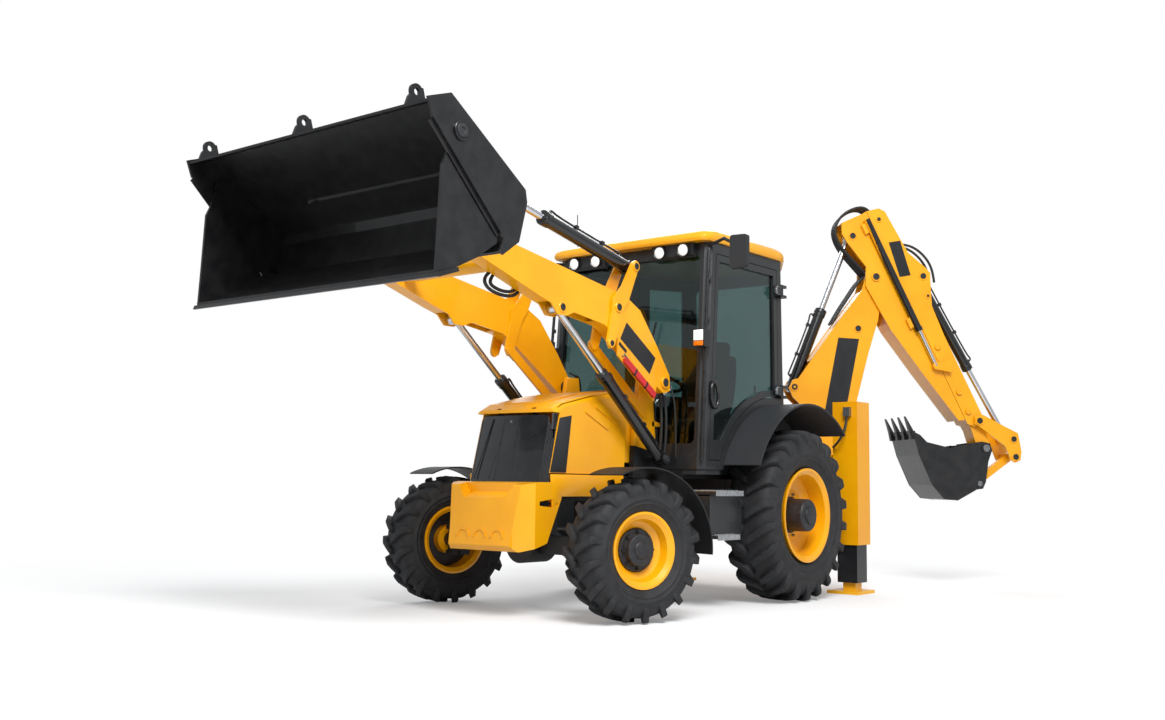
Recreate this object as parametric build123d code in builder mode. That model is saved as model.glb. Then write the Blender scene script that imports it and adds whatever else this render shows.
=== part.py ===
from build123d import *
import os
from math import atan2, cos, degrees, hypot, radians, sin, tan

# Backhoe loader, loader raised, backhoe swung to its left and stabilisers down.
# Millimetres. X forward, Y to the machine's left, Z up. All sizes are measured from the
# ground under the rear axle, and each piece is shifted on writing so that the origin
# is under the middle of the whole machine.
frame_shift_x = 631.0
frame_shift_y = 305.0

# Running gear
wheelbase = 2170.0
king_pin_y = 800.0
steer_angle = -16.0
king_pin_r = 24.0
spindle_gap = 0.08
pin_gap = 0.08
seat_gap = 0.3

# wheel: tyre radius, tyre width, flange radius, bead radius, half rim width,
# disc offset outwards, hub radius, hub reach outwards, spindle radius
wheel_sizes = {
    "front": (493.0, 330.0, 262.0, 231.0, 137.0, 30.0, 105.0, 95.0, 55.0),
    "rear": (702.0, 430.0, 384.0, 352.0, 196.0, 20.0, 125.0, 205.0, 75.0),
}
# tread: sides of the casing, lugs on each shoulder, lug width, lug height, slant in degrees
treads = {
    "front": (24, 18, 46.0, 30.0, 36.0),
    "rear": (28, 22, 56.0, 38.0, 36.0),
}
front_track_half = 948.0
rear_track_half = 896.0

# Chassis
rail_y = 300.0
rail_width = 60.0
rail_low = 810.0
rail_high = 1000.0
rail_front = wheelbase + 390
rail_rear = -889.0
grille_low = 946.0
axle_tube_r = 95.0

# Loader linkage, in X and Z
arm_pivot = (1305.0, 1723.0)
lever_pivot = (1927.0, 2235.0)
lever_low = (2010.0, 1960.0)
lever_top = (1718.0, 2569.0)
lift_eye = (2542.0, 2164.0)
lift_base = (1269.0, 1135.0)
shovel_pivot = (3500.0, 2500.0)
shovel_eye = (3500.0, 2950.0)
arm_inner = 440.0
arm_outer = 562.0
arm_plate = 12.0
tower_inner = 345.0
tower_outer = 388.0
ram_y = 501.0
ram_eye_width = 84.0
side_gap = 5.0
lever_plate = 18.0
link_plate = 20.0
link_anchor = (1366.0, 1497.0)
link_half = 36.0
arm_pin_r = 32.0
lever_pin_r = 26.0
link_pin_r = 20.0
ram_pin_r = 25.0
lift_barrel_r = 42.0
lift_rod_r = 25.0
lift_barrel_length = 970.0
lift_rod_inner = 630.0
shovel_barrel_r = 48.0
shovel_rod_r = 27.0
shovel_barrel_length = 1010.0
shovel_rod_inner = 600.0

# Shovel
shovel_half = 1165.0
shovel_wall = 16.0
clam_half = 1140.0
clam_wall = 18.0
clam_pivot = (4185.0, 2930.0)

# Cab
cab_wall = 50.0
cab_floor = 1060.0
cab_top = 2860.0
glass_depth = 20.0
glass_thickness = 8.0
door_gap = 6.0
door_leaf = 42.0
door_hinge = (-52.0, 822.0)
arch_r = 915.0
arch_skin = 15.0
fender_inner = 640.0
fender_outer = 1125.0

# Backhoe: swing post place and angle, then pins in the swung plane
# (distance from the swing post, height)
post_x = -1360.0
swing = 45.0
boom_foot = (400.0, 880.0)
boom_eye = (803.0, 2474.0)
boom_ram_base = (120.0, 1320.0)
boom_tip = (977.0, 2985.0)
dipper_eye = (747.0, 3383.0)
dipper_ram_base = (165.0, 1890.0)
bucket_ram_base = (1456.0, 3006.0)
lever_foot = (1991.0, 1593.0)
lever_ram_pin = (2335.0, 1420.0)
lever_link_pin = (2351.0, 1247.0)
bucket_pin = (2069.0, 1328.0)
bucket_link_pin = (1996.0, 985.0)
boom_half = 110.0
boom_plate = 18.0
dipper_half = 140.0
dipper_plate = 24.0
slide_gap = 5.0
hoe_bucket_half = 300.0
hoe_bucket_wall = 14.0
jaw_pin_r = 35.0
boom_pin_r = 32.0
hoe_pin_r = 28.0
hoe_eye_width = 84.0
boom_barrel_r = 60.0
boom_rod_r = 35.0
boom_barrel_length = 1080.0
boom_rod_inner = 350.0
dipper_barrel_r = 52.0
dipper_rod_r = 30.0
dipper_barrel_length = 829.0
dipper_rod_inner = 630.0
bucket_barrel_r = 46.0
bucket_rod_r = 28.0
bucket_barrel_length = 1030.0
bucket_rod_inner = 700.0

# Stabilisers
leg_x = -1008.0
leg_y = 980.0
leg_width = 190.0
sleeve_width = 238.0
sleeve_wall = 12.0
sleeve_low = 430.0
sleeve_high = 1690.0
leg_low = 100.0
leg_high = 1050.0
foot_height = 28.0

os.makedirs("parts", exist_ok=True)


def save(piece, label):
    """Shift a finished piece to the frame under the machine's middle and write it."""
    piece.part.label = label
    placed = piece.part.moved(Location((-frame_shift_x, -frame_shift_y, 0)))
    placed.label = label
    export_step(placed, f"parts/{label}.step")


def side(y=0.0):
    """Upright plane along the machine: X forward, Z up."""
    return Plane(origin=(0, y, 0), x_dir=(1, 0, 0), z_dir=(0, -1, 0))


swing_out = Vector(-cos(radians(swing)), sin(radians(swing)), 0)
swing_side = Vector(sin(radians(swing)), cos(radians(swing)), 0)
post = Vector(post_x, 0, 0)


def swung(q=0.0):
    """Upright plane along the swung backhoe: distance out, Z up."""
    return Plane(origin=post + swing_side * q, x_dir=swing_out, z_dir=swing_side)


def slab(outline, plane, width, corner=0.0, mode=Mode.ADD):
    """Prism over an outline, centred on its plane."""
    with BuildSketch(plane) as face:
        with BuildLine():
            if corner:
                FilletPolyline(*outline, radius=corner, close=True)
            else:
                Polyline(*outline, close=True)
        make_face()
    extrude(face.sketch, amount=width / 2, both=True, mode=mode)


def disc(centre, plane, radius, width, bore=0.0, mode=Mode.ADD):
    """Round boss or hole, centred on its plane."""
    with BuildSketch(plane) as face:
        with Locations(centre):
            Circle(radius)
            if bore:
                Circle(bore, mode=Mode.SUBTRACT)
    extrude(face.sketch, amount=width / 2, both=True, mode=mode)


def bar(start, end, radius, bore=0.0, mode=Mode.ADD):
    """Round bar or tube between two points."""
    run = Vector(*end) - Vector(*start)
    with BuildSketch(Plane(origin=start, z_dir=run)) as ring:
        Circle(radius)
        if bore:
            Circle(bore, mode=Mode.SUBTRACT)
    extrude(ring.sketch, amount=run.length, mode=mode)


def block(low, high, mode=Mode.ADD):
    """Upright box between two corners."""
    with BuildSketch(Plane.XY.offset(low[2])) as foot:
        with Locations(((low[0] + high[0]) / 2, (low[1] + high[1]) / 2)):
            Rectangle(high[0] - low[0], high[1] - low[1])
    extrude(foot.sketch, amount=high[2] - low[2], mode=mode)


def toward(start, end, distance):
    """Point at a distance from start on the line to end."""
    length = hypot(end[0] - start[0], end[1] - start[1])
    share = distance / length
    return (start[0] + (end[0] - start[0]) * share, start[1] + (end[1] - start[1]) * share)


def ram_barrel(base, eye, plane, radius, rod_radius, length, eye_width, pin_radius):
    """Cylinder barrel with a base eye and a gland, open to its rod."""
    start = plane.from_local_coords(Vector(*toward(base, eye, pin_radius)))
    end = plane.from_local_coords(Vector(*toward(base, eye, length)))
    gland = plane.from_local_coords(Vector(*toward(base, eye, length - 70)))
    floor = plane.from_local_coords(Vector(*toward(base, eye, pin_radius + 60)))
    bar(start, end, radius)
    bar(gland, end, radius + 6)
    bar(floor, end, rod_radius + pin_gap, mode=Mode.SUBTRACT)
    disc(base, plane, pin_radius + 24, eye_width)
    disc(base, plane, pin_radius + pin_gap, eye_width + 40, mode=Mode.SUBTRACT)


def ram_rod(base, eye, plane, rod_radius, inner, eye_width, pin_radius):
    """Rod with an eye, its inner end a distance from the barrel's pin."""
    inside = plane.from_local_coords(Vector(*toward(base, eye, inner)))
    end = plane.from_local_coords(Vector(*toward(eye, base, pin_radius)))
    bar(inside, end, rod_radius)
    disc(eye, plane, pin_radius + 22, eye_width)
    disc(eye, plane, pin_radius + pin_gap, eye_width + 40, mode=Mode.SUBTRACT)


# Tyres: a casing of flat facets with a staggered row of slanted lugs on each shoulder
lug_root = 50.0
lug_inboard = 6.0
bulge_share = 0.42
shoulder_share = 0.86
crown_drop = 0.1


def tyre_body(size, tread):
    """Tyre lying flat round the Z axis, one lug's outer corner on the radius at -Y."""
    radius, width, flange, bead, half_rim = size[:5]
    facets, lugs, lug_width, lug_height, slant = tread
    half = width / 2
    wall = radius - flange
    crown = radius - lug_height - wall * crown_drop
    turn = radians(180 / facets)
    lean = radians(slant)
    with BuildPart() as facet:
        with BuildSketch(Plane.YZ):
            with BuildLine():
                Polyline(
                    (bead, half_rim - 26),
                    (flange + wall * bulge_share, half - 3),
                    (crown, half * shoulder_share),
                    (crown, -half * shoulder_share),
                    (flange + wall * bulge_share, 3 - half),
                    (bead, 26 - half_rim),
                    close=True,
                )
            make_face()
        extrude(amount=radius * tan(turn), both=True)
        for sign in (-1, 1):
            split(bisect_by=Plane(origin=(0, 0, 0), z_dir=(sign * cos(turn), -sin(turn), 0)), keep=Keep.BOTTOM)
    run_half = (half / 2 - lug_width / 2 * sin(lean)) / cos(lean)
    reach = (run_half + lug_inboard) * sin(lean) + lug_width / 2 * cos(lean)
    top = (radius**2 - reach**2) ** 0.5
    lug_side = [
        (-run_half - lug_inboard, radius - lug_height - lug_root),
        (-run_half - lug_inboard, top),
        (run_half - wall * 0.11, top),
        (run_half, radius - wall * bulge_share),
        (run_half - lug_root, radius - lug_height - lug_root),
    ]
    with BuildPart() as lug_pair:
        for sign, stagger in ((1, 0.0), (-1, 180 / lugs)):
            run = Vector(-sin(lean), 0, sign * cos(lean))
            lug_plane = Plane(origin=(0, 0, sign * half / 2), x_dir=run, z_dir=run.cross(Vector(0, 1, 0)))
            with BuildSketch(lug_plane) as section:
                with BuildLine():
                    Polyline(*lug_side, close=True)
                make_face()
            lug = extrude(section.sketch, amount=lug_width / 2, both=True, mode=Mode.PRIVATE)
            add(lug.rotate(Axis.Z, stagger))
    with BuildPart() as tyre:
        with PolarLocations(0, facets):
            add(facet.part)
        with PolarLocations(0, lugs):
            add(lug_pair.part)
    return tyre.part.rotate(Axis.Z, degrees(atan2(reach, top)))


# Wheels: a tyre and a dished rim with its hub, bored for the spindle
def wheel(label, centre, outward, size, casing):
    flange, bead, half_rim, dish, hub_r, hub_reach, spindle = size[2:]
    plane = Plane(origin=centre, x_dir=outward, z_dir=outward.cross(Vector(0, 0, 1)))
    turn = Axis(centre, outward)
    ahead = outward.cross(Vector(0, 0, 1)) * (1 if outward.Y > 0 else -1)
    upright = Plane(origin=centre, x_dir=ahead, z_dir=ahead.cross(Vector(0, 0, 1)))
    with BuildPart() as tyre:
        add(casing.moved(upright.location))
    save(tyre, f"{label}_tyre")
    with BuildPart() as rim:
        with BuildSketch(plane) as section:
            with BuildLine():
                Polyline(
                    (-half_rim, flange),
                    (-half_rim + 12, flange),
                    (-half_rim + 22, bead),
                    (half_rim - 22, bead),
                    (half_rim - 12, flange),
                    (half_rim, flange),
                    (half_rim, flange - 16),
                    (half_rim - 22, bead - 18),
                    (dish + 28, bead - 34),
                    (dish, bead * 0.62),
                    (dish, hub_r),
                    (hub_reach - 18, hub_r),
                    (hub_reach, hub_r * 0.72),
                    (hub_reach, 0),
                    (dish - 20, 0),
                    (dish - 20, spindle + spindle_gap),
                    (dish - 90, spindle + spindle_gap),
                    (dish - 90, hub_r),
                    (dish - 22, hub_r),
                    (dish - 22, bead * 0.62),
                    (dish + 8, bead - 22),
                    (-half_rim + 22, bead - 14),
                    (-half_rim, flange - 16),
                    close=True,
                )
            make_face()
        revolve(section.sketch, axis=turn)
    save(rim, f"{label}_rim")


steer = radians(steer_angle)
front_left_out = Vector(-sin(steer), cos(steer), 0)
front_offset = front_track_half - king_pin_y
front_hub_z = wheel_sizes["front"][0]
rear_hub_z = wheel_sizes["rear"][0]
left_pin = Vector(wheelbase, king_pin_y, front_hub_z)
right_pin = Vector(wheelbase, -king_pin_y, front_hub_z)
front_left_centre = left_pin + front_left_out * front_offset
front_right_centre = right_pin - front_left_out * front_offset
rear_left_centre = Vector(0, rear_track_half, rear_hub_z)
rear_right_centre = Vector(0, -rear_track_half, rear_hub_z)
casings = {axle: tyre_body(size, treads[axle]) for axle, size in wheel_sizes.items()}
for axle, label, centre, outward in (
    ("front", "front_wheel_left", front_left_centre, front_left_out),
    ("front", "front_wheel_right", front_right_centre, -front_left_out),
    ("rear", "rear_wheel_left", rear_left_centre, Vector(0, 1, 0)),
    ("rear", "rear_wheel_right", rear_right_centre, Vector(0, -1, 0)),
):
    wheel(label, centre, outward, wheel_sizes[axle], casings[axle])

# Front axle: a tapered beam with a drive housing and a yoke at each end for the king pins
yoke_inner = king_pin_y - 85
yoke_outer = king_pin_y + 45
knuckle_half = 78.0
yoke_plate = 34.0
with BuildPart() as front_axle:
    beam_end = yoke_inner - 70
    block((wheelbase - 70, -beam_end, front_hub_z - 65), (wheelbase + 70, beam_end, front_hub_z + 65))
    block((wheelbase - 40, -yoke_inner - 2, front_hub_z - 65), (wheelbase + 40, yoke_inner + 2, front_hub_z + 65))
    bar((wheelbase - 120, 0, front_hub_z), (wheelbase + 150, 0, front_hub_z), 135)
    for sign in (-1, 1):
        y_low = min(sign * yoke_inner, sign * yoke_outer)
        y_high = max(sign * yoke_inner, sign * yoke_outer)
        wall_low = min(sign * yoke_inner, sign * (yoke_inner - 30))
        wall_high = max(sign * yoke_inner, sign * (yoke_inner - 30))
        top = front_hub_z + knuckle_half + seat_gap
        bottom = front_hub_z - knuckle_half - seat_gap
        block((wheelbase - 60, y_low, top), (wheelbase + 60, y_high, top + yoke_plate))
        block((wheelbase - 60, y_low, bottom - yoke_plate), (wheelbase + 60, y_high, bottom))
        block((wheelbase - 40, wall_low, bottom - yoke_plate), (wheelbase + 40, wall_high, top + yoke_plate))
        bar(
            (wheelbase, sign * king_pin_y, bottom - yoke_plate - 10),
            (wheelbase, sign * king_pin_y, top + yoke_plate + 10),
            king_pin_r + pin_gap,
            mode=Mode.SUBTRACT,
        )
save(front_axle, "front_axle")

# Steered knuckles: a barrel on the king pins, the wheel spindle and the mudguard on its arm
guard_r = wheel_sizes["front"][0] + 62
guard_skin = 10.0
guard_overhang = 24.0
for label, pin, out in (
    ("knuckle_left", left_pin, front_left_out),
    ("knuckle_right", right_pin, -front_left_out),
):
    size = wheel_sizes["front"]
    ahead = front_left_out.cross(Vector(0, 0, 1))
    centre = pin + out * front_offset
    spindle_end = centre + out * (size[5] - 21)
    guard_plane = Plane(origin=centre, x_dir=ahead, z_dir=ahead.cross(Vector(0, 0, 1)))
    with BuildPart() as knuckle:
        bar(
            pin - Vector(0, 0, knuckle_half + yoke_plate + 8),
            pin + Vector(0, 0, knuckle_half + yoke_plate + 8),
            king_pin_r,
        )
        bar(pin - Vector(0, 0, knuckle_half), pin + Vector(0, 0, knuckle_half), 58)
        bar(pin, spindle_end, size[8])
        with BuildSketch(guard_plane) as arc:
            Circle(guard_r + guard_skin)
            Circle(guard_r, mode=Mode.SUBTRACT)
            with BuildLine():
                Polyline((0, 0), (-900, -60), (-900, 900), (420, 900), close=True)
            make_face(mode=Mode.INTERSECT)
        extrude(arc.sketch, amount=size[1] / 2 + guard_overhang, both=True)
        inboard = centre - out * (size[1] / 2 + 15)
        stay_plane = Plane(origin=inboard, x_dir=ahead, z_dir=ahead.cross(Vector(0, 0, 1)))
        stay = [
            (0, -40),
            (-150, -40),
            (-340, guard_r * 0.82),
            (-255, guard_r * 0.9),
            (-118, 70),
            (0, 70),
        ]
        slab(stay, stay_plane, guard_skin)
    save(knuckle, label)

# Rear axle: a housing with a tube and a spindle on each side
with BuildPart() as rear_axle:
    tube_end = rear_track_half + wheel_sizes["rear"][5] - 96
    bar((0, -tube_end, rear_hub_z), (0, tube_end, rear_hub_z), axle_tube_r)
    bar((-150, 0, rear_hub_z - 10), (190, 0, rear_hub_z - 10), 190)
    spindle_reach = rear_track_half + wheel_sizes["rear"][5] - 21
    bar((0, -spindle_reach, rear_hub_z), (0, spindle_reach, rear_hub_z), wheel_sizes["rear"][8])
    for sign in (-1, 1):
        block((-110, sign * rail_y - 30, rear_hub_z), (110, sign * rail_y + 30, rail_low + 1))
    block((-300, -rail_y - 40, rail_low - seat_gap), (300, rail_y + 40, rail_low + 400), Mode.SUBTRACT)
save(rear_axle, "rear_axle")

# Chassis frame: two rails, cross members, the axle seat and the loader towers with their pins
tower_front = 1480.0
tower_rear = 1150.0
with BuildPart() as chassis_frame:
    for sign in (-1, 1):
        low_y = min(sign * (rail_y - rail_width / 2), sign * (rail_y + rail_width / 2))
        block((rail_rear, low_y, rail_low), (rail_front, low_y + rail_width, rail_high))
    for x in (-840, -430, 430, 1300, wheelbase + 310):
        block((x - 45, -rail_y, rail_low + 20), (x + 45, rail_y, rail_high - 20))
    block((wheelbase - 90, -150, front_hub_z + 60), (wheelbase + 90, 150, rail_low + 20))
    block((wheelbase - 90, -rail_y, rail_low), (wheelbase + 90, rail_y, rail_low + 60))
    bar((wheelbase - 120, 0, front_hub_z), (wheelbase + 150, 0, front_hub_z), 135 + seat_gap, mode=Mode.SUBTRACT)
    block(
        (wheelbase - 71, -400, front_hub_z - 66),
        (wheelbase + 71, 400, front_hub_z + 65 + seat_gap),
        Mode.SUBTRACT,
    )
    block((wheelbase + 200, -rail_y - 32, grille_low), (rail_front + 40, rail_y + 32, rail_high + 1), Mode.SUBTRACT)
    for x in (-300, 300):
        block((x - 40, -rail_y, rail_low), (x + 40, rail_y, rail_low + 60))
    block((1190, -tower_outer, rail_low), (1420, tower_outer, rail_high - 20))
    bar((1290, -tower_outer, 1560), (1290, tower_outer, 1560), 48)
    tower = [
        (tower_rear, rail_low),
        (tower_front, rail_low),
        (tower_front - 30, 1230),
        (1400, 1640),
        (arm_pivot[0] + 70, arm_pivot[1] + 75),
        (arm_pivot[0] - 70, arm_pivot[1] + 75),
        (1215, 1640),
        (tower_rear + 10, 1180),
    ]
    for sign in (-1, 1):
        middle = sign * (tower_inner + tower_outer) / 2
        slab(tower, side(middle), tower_outer - tower_inner, corner=25)
        bar(
            (arm_pivot[0], sign * tower_inner, arm_pivot[1]),
            (arm_pivot[0], sign * (arm_outer + 14), arm_pivot[1]),
            arm_pin_r,
        )
        bar(
            (arm_pivot[0], sign * tower_outer, arm_pivot[1]),
            (arm_pivot[0], sign * (arm_inner - 2), arm_pivot[1]),
            arm_pin_r + 18,
        )
        bar(
            (lift_base[0], sign * tower_inner, lift_base[1]),
            (lift_base[0], sign * (arm_outer + 5), lift_base[1]),
            ram_pin_r,
        )
    for x in (-700, 0, 950):
        for sign in (-1, 1):
            block((x - 50, sign * rail_y - 30, rail_high), (x + 50, sign * rail_y + 30, cab_floor - 40))
save(chassis_frame, "chassis_frame")

# Engine: one plain block at its real place, on feet against the rails
engine_low = rail_low + 75
engine_half = 235.0
with BuildPart() as engine_block:
    block((1520, -engine_half, engine_low), (wheelbase + 130, engine_half, 1330))
    for x in (1640, wheelbase - 20):
        block((x - 40, -rail_y + rail_width / 2, engine_low), (x + 40, rail_y - rail_width / 2, engine_low + 90))
save(engine_block, "engine_block")

# Bonnet: one moulded lid over the engine, hinged above the grille
bonnet_half = 378.0
bonnet_skin = 10.0
bonnet_rear = 1530.0
lid_hinge = (wheelbase + 202, 1461.0)
lid_hinge_y = 170.0
lid_pin_r = 7.0
bonnet_line = [(bonnet_rear, 1655.0), (wheelbase - 270, 1610.0), (wheelbase + 130, 1520.0)]
bonnet_foot = 1010.0
bonnet_foot_rear = bonnet_rear + 40
bonnet_brow = wheelbase + 225
plateau_half = 205.0
plateau_rise = 9.0
gill_rise = 8.0
bonnet_outline = [
    (bonnet_foot_rear, bonnet_foot),
    *bonnet_line,
    (bonnet_brow, 1470),
    (bonnet_brow + 5, 1446),
    (wheelbase + 160, 1440),
    (wheelbase + 270, bonnet_foot),
]
plateau = [(x + 30, z - 8) for x, z in bonnet_line[:1]] + [(x, z - 5) for x, z in bonnet_line[1:]]
plateau += [(x, z + plateau_rise) for x, z in bonnet_line[:0:-1]] + [(bonnet_rear + 30, bonnet_line[0][1] + 4)]
with BuildPart() as bonnet:
    slab(bonnet_outline, side(), 2 * bonnet_half)
    top_edges = bonnet.edges().filter_by(lambda e: e.center().Z > 1480 and abs(abs(e.center().Y) - bonnet_half) < 1)
    fillet(top_edges, radius=45)
    slab(plateau, side(), 2 * plateau_half)
    for sign in (-1, 1):
        for x, z in ((bonnet_rear + 70, 1430), (bonnet_rear + 190, 1390)):
            gill = [(x, z), (x + 250, z + 110), (x + 320, z + 100), (x + 330, z + 70), (x + 60, z - 50)]
            slab(gill, side(sign * (bonnet_half + gill_rise / 2 - 1)), gill_rise + 2, corner=12)
    inside = [
        (bonnet_foot_rear - 1, bonnet_foot - 10),
        (bonnet_rear - 1, bonnet_line[0][1] - bonnet_skin),
        (bonnet_line[1][0], bonnet_line[1][1] - bonnet_skin),
        (bonnet_line[2][0] - 4, bonnet_line[2][1] - bonnet_skin),
        (bonnet_brow - 45, 1490 - bonnet_skin),
        (wheelbase + 166, 1439),
        (wheelbase + 290, bonnet_foot - 10),
    ]
    slab(inside, side(), 2 * (bonnet_half - bonnet_skin), mode=Mode.SUBTRACT)
    for sign in (-1, 1):
        low, high = sorted((sign * (lid_hinge_y - 22), sign * (lid_hinge_y + 22)))
        block((lid_hinge[0] - 52, low, 1425), (lid_hinge[0] + 20, high, 1482), mode=Mode.SUBTRACT)
        bar(
            (lid_hinge[0], low - 24, lid_hinge[1]),
            (lid_hinge[0], high + 24, lid_hinge[1]),
            lid_pin_r + pin_gap,
            mode=Mode.SUBTRACT,
        )
save(bonnet, "bonnet")

# Grille: a bowed dark moulding that leans forward at its foot, with two creases and corner ribs
grille_front = wheelbase + 335
grille_high = 1426.0
grille_lean = 112.0
grille_bow = 28.0
grille_corner = 50.0
grille_head_inset = 12.0
crease_y = 72.0
crease_r = 6.0
rib_r = 7.0


def grille_plan(plane, front, inset):
    """Plan of the grille at one height: bowed front, swept sides."""
    flank = bonnet_half - inset
    with BuildSketch(plane) as plan:
        with BuildLine():
            Polyline((front - 190, 0), (front - 190, flank), (front - 60, flank))
            Line((front - 60, flank), (front - 10, flank - grille_corner))
            ThreePointArc(
                (front - 10, flank - grille_corner),
                (front + grille_bow, 0),
                (front - 10, grille_corner - flank),
            )
            Polyline((front - 10, grille_corner - flank), (front - 60, -flank), (front - 190, -flank), (front - 190, 0))
        make_face()
    return plan.sketch


def up_the_grille(back, y, inset, radius, mode=Mode.ADD):
    """Round bar up the leaning face, set back from its front line."""
    share = (y - (inset if y > 0 else -inset)) / y
    foot = (grille_front - back + grille_lean * 0.06, y, grille_low + 0.06 * (grille_low - grille_high))
    head = (grille_front - back - grille_lean * 0.94, y * share, grille_low + 0.94 * (grille_high - grille_low))
    bar(foot, head, radius, mode=mode)


with BuildPart() as grille:
    foot_plan = grille_plan(Plane.XY.offset(grille_low), grille_front, 0)
    head_plan = grille_plan(Plane.XY.offset(grille_high), grille_front - grille_lean, grille_head_inset)
    loft([foot_plan, head_plan], ruled=True)
    for sign in (-1, 1):
        up_the_grille(-grille_bow, sign * crease_y, 0, crease_r, Mode.SUBTRACT)
        for share in (0.12, 0.38, 0.64, 0.9):
            corner_y = bonnet_half - grille_corner * share
            up_the_grille(60 - grille_corner * share, sign * corner_y, grille_head_inset, rib_r)
    block(
        (wheelbase - 170, -bonnet_half + 12, grille_low - 1),
        (wheelbase + 215, bonnet_half - 12, grille_high + 1),
        Mode.SUBTRACT,
    )
    back = [
        (wheelbase + 30, 800),
        (wheelbase + 30, 1440),
        (wheelbase + 160, 1440),
        (wheelbase + 270, 1010),
        (wheelbase + 270, 800),
    ]
    slab(back, side(), 2 * bonnet_half + 40, mode=Mode.SUBTRACT)
    block((wheelbase, -500, grille_low - 60), (wheelbase + 500, 500, grille_low), Mode.SUBTRACT)
    hinge_lug = [
        (lid_hinge[0] - 8, lid_hinge[1] + 11),
        (lid_hinge[0] + 11, lid_hinge[1] - 2),
        (lid_hinge[0] - 20, 1420),
        (lid_hinge[0] + 20, 1420),
        (lid_hinge[0] + 20, 1396),
        (lid_hinge[0] - 42, 1396),
        (lid_hinge[0] - 42, 1412),
        (lid_hinge[0] - 14, lid_hinge[1]),
    ]
    for sign in (-1, 1):
        slab(hinge_lug, side(sign * lid_hinge_y), 30)
        low, high = sorted((sign * (lid_hinge_y - 40), sign * (lid_hinge_y + 40)))
        bar((lid_hinge[0], low, lid_hinge[1]), (lid_hinge[0], high, lid_hinge[1]), lid_pin_r)
save(grille, "grille")

# Front counterweight: a cast nose with a notch in its brow, arched bosses and a slot in each side
nose_half = 400.0
nose_brow = wheelbase + 520
nose_toe = wheelbase + 582
nose_outline = [
    (wheelbase + 160, 830),
    (wheelbase + 160, grille_low),
    (rail_front, grille_low),
    (nose_brow, 925),
    (nose_toe, 500),
    (nose_toe - 52, 462),
    (wheelbase + 310, 520),
]
notch_back = wheelbase + 435
notch_floor = 833.0
notch_outline = [(-280, grille_low), (-200, notch_floor), (200, notch_floor), (280, grille_low)]
ledge = [(notch_back, notch_floor - 1), (notch_back, notch_floor + 42), (notch_back + 90, notch_floor - 1)]
emboss_r = 64.0
emboss_depth = 7.0
emboss_level = 560.0
side_slot = [
    (wheelbase + 195, 795),
    (wheelbase + 250, 828),
    (wheelbase + 395, 812),
    (wheelbase + 395, 782),
    (wheelbase + 250, 768),
]
with BuildPart() as counterweight:
    slab(nose_outline, side(), 2 * nose_half, corner=18)
    for sign in (-1, 1):
        with BuildSketch(Plane.XY.offset(400)) as corner_cut:
            with BuildLine():
                Polyline(
                    (nose_toe + 48, sign * 285),
                    (nose_toe - 17, sign * 300),
                    (wheelbase + 440, sign * nose_half),
                    (wheelbase + 440, sign * (nose_half + 50)),
                    (nose_toe + 48, sign * (nose_half + 50)),
                    close=True,
                )
            make_face()
        extrude(corner_cut.sketch, amount=600, mode=Mode.SUBTRACT)
        slab(side_slot, side(sign * nose_half), 2 * (nose_half - rail_y), mode=Mode.SUBTRACT)
    block((wheelbase + 130, -rail_y - 30, 700), (rail_front, rail_y + 30, 1100), Mode.SUBTRACT)
    slab(
        notch_outline,
        Plane(origin=((notch_back + nose_toe) / 2, 0, 0), x_dir=(0, 1, 0), z_dir=(1, 0, 0)),
        nose_toe - notch_back,
        mode=Mode.SUBTRACT,
    )
    slab(ledge, side(), 2 * 200)
    face_run = Vector(nose_brow - nose_toe, 0, 925 - 500).normalized()
    for y in (-165, 0, 165):
        foot = Vector(nose_toe, y, 500) + face_run * (emboss_level - 500)
        with BuildSketch(Plane(origin=foot, x_dir=(0, 1, 0), z_dir=Vector(0, 1, 0).cross(face_run))) as emboss:
            Circle(emboss_r)
            Circle(emboss_r - 16, mode=Mode.SUBTRACT)
            with Locations((0, -emboss_r / 2)):
                Rectangle(2 * emboss_r, emboss_r, mode=Mode.SUBTRACT)
        extrude(emboss.sketch, amount=emboss_depth, both=True)
save(counterweight, "counterweight")

# Rear fenders: an arched skin over each rear tyre with an inner cheek
arch_centre = (0.0, rear_hub_z)
with BuildPart() as rear_fenders:
    for sign in (-1, 1):
        middle = sign * (fender_inner + fender_outer) / 2
        with BuildSketch(side(middle)) as arch:
            with Locations(arch_centre):
                Circle(arch_r)
                Circle(arch_r - arch_skin, mode=Mode.SUBTRACT)
            with BuildLine():
                Polyline((0, rear_hub_z), (1300, 1330), (1300, 2000), (-900, 2000), (-900, 1700), close=True)
            make_face(mode=Mode.INTERSECT)
        extrude(arch.sketch, amount=(fender_outer - fender_inner) / 2, both=True)
        with BuildSketch(side(sign * (fender_inner + arch_skin / 2))) as cheek:
            with Locations(arch_centre):
                Circle(arch_r)
            with BuildLine():
                Polyline((-900, cab_floor), (-900, 2000), (900, 2000), (900, cab_floor), close=True)
            make_face(mode=Mode.INTERSECT)
        extrude(cheek.sketch, amount=arch_skin / 2, both=True)
save(rear_fenders, "rear_fenders")

# Side tanks with two step plates each, against the rails under the doors
tank_front = 1225.0
tank_rear = 770.0
tank_outer = 930.0
with BuildPart() as side_tanks:
    for sign in (-1, 1):
        inner = tower_outer
        tank = [
            (tank_rear, 560),
            (tank_front, 560),
            (tank_front, 868),
            (tank_rear + 60, 868),
            (tank_rear, 800),
        ]
        slab(tank, side(sign * (inner + tank_outer) / 2), tank_outer - inner, corner=22)
        step_inner = min(sign * (tank_outer - 220), sign * (tank_outer + 60))
        block((tank_rear + 70, step_inner, 868), (tank_front + 10, step_inner + 280, 892))
        block((tank_rear + 120, step_inner, 536), (tank_front - 20, step_inner + 280, 560))
save(side_tanks, "side_tanks")

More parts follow.
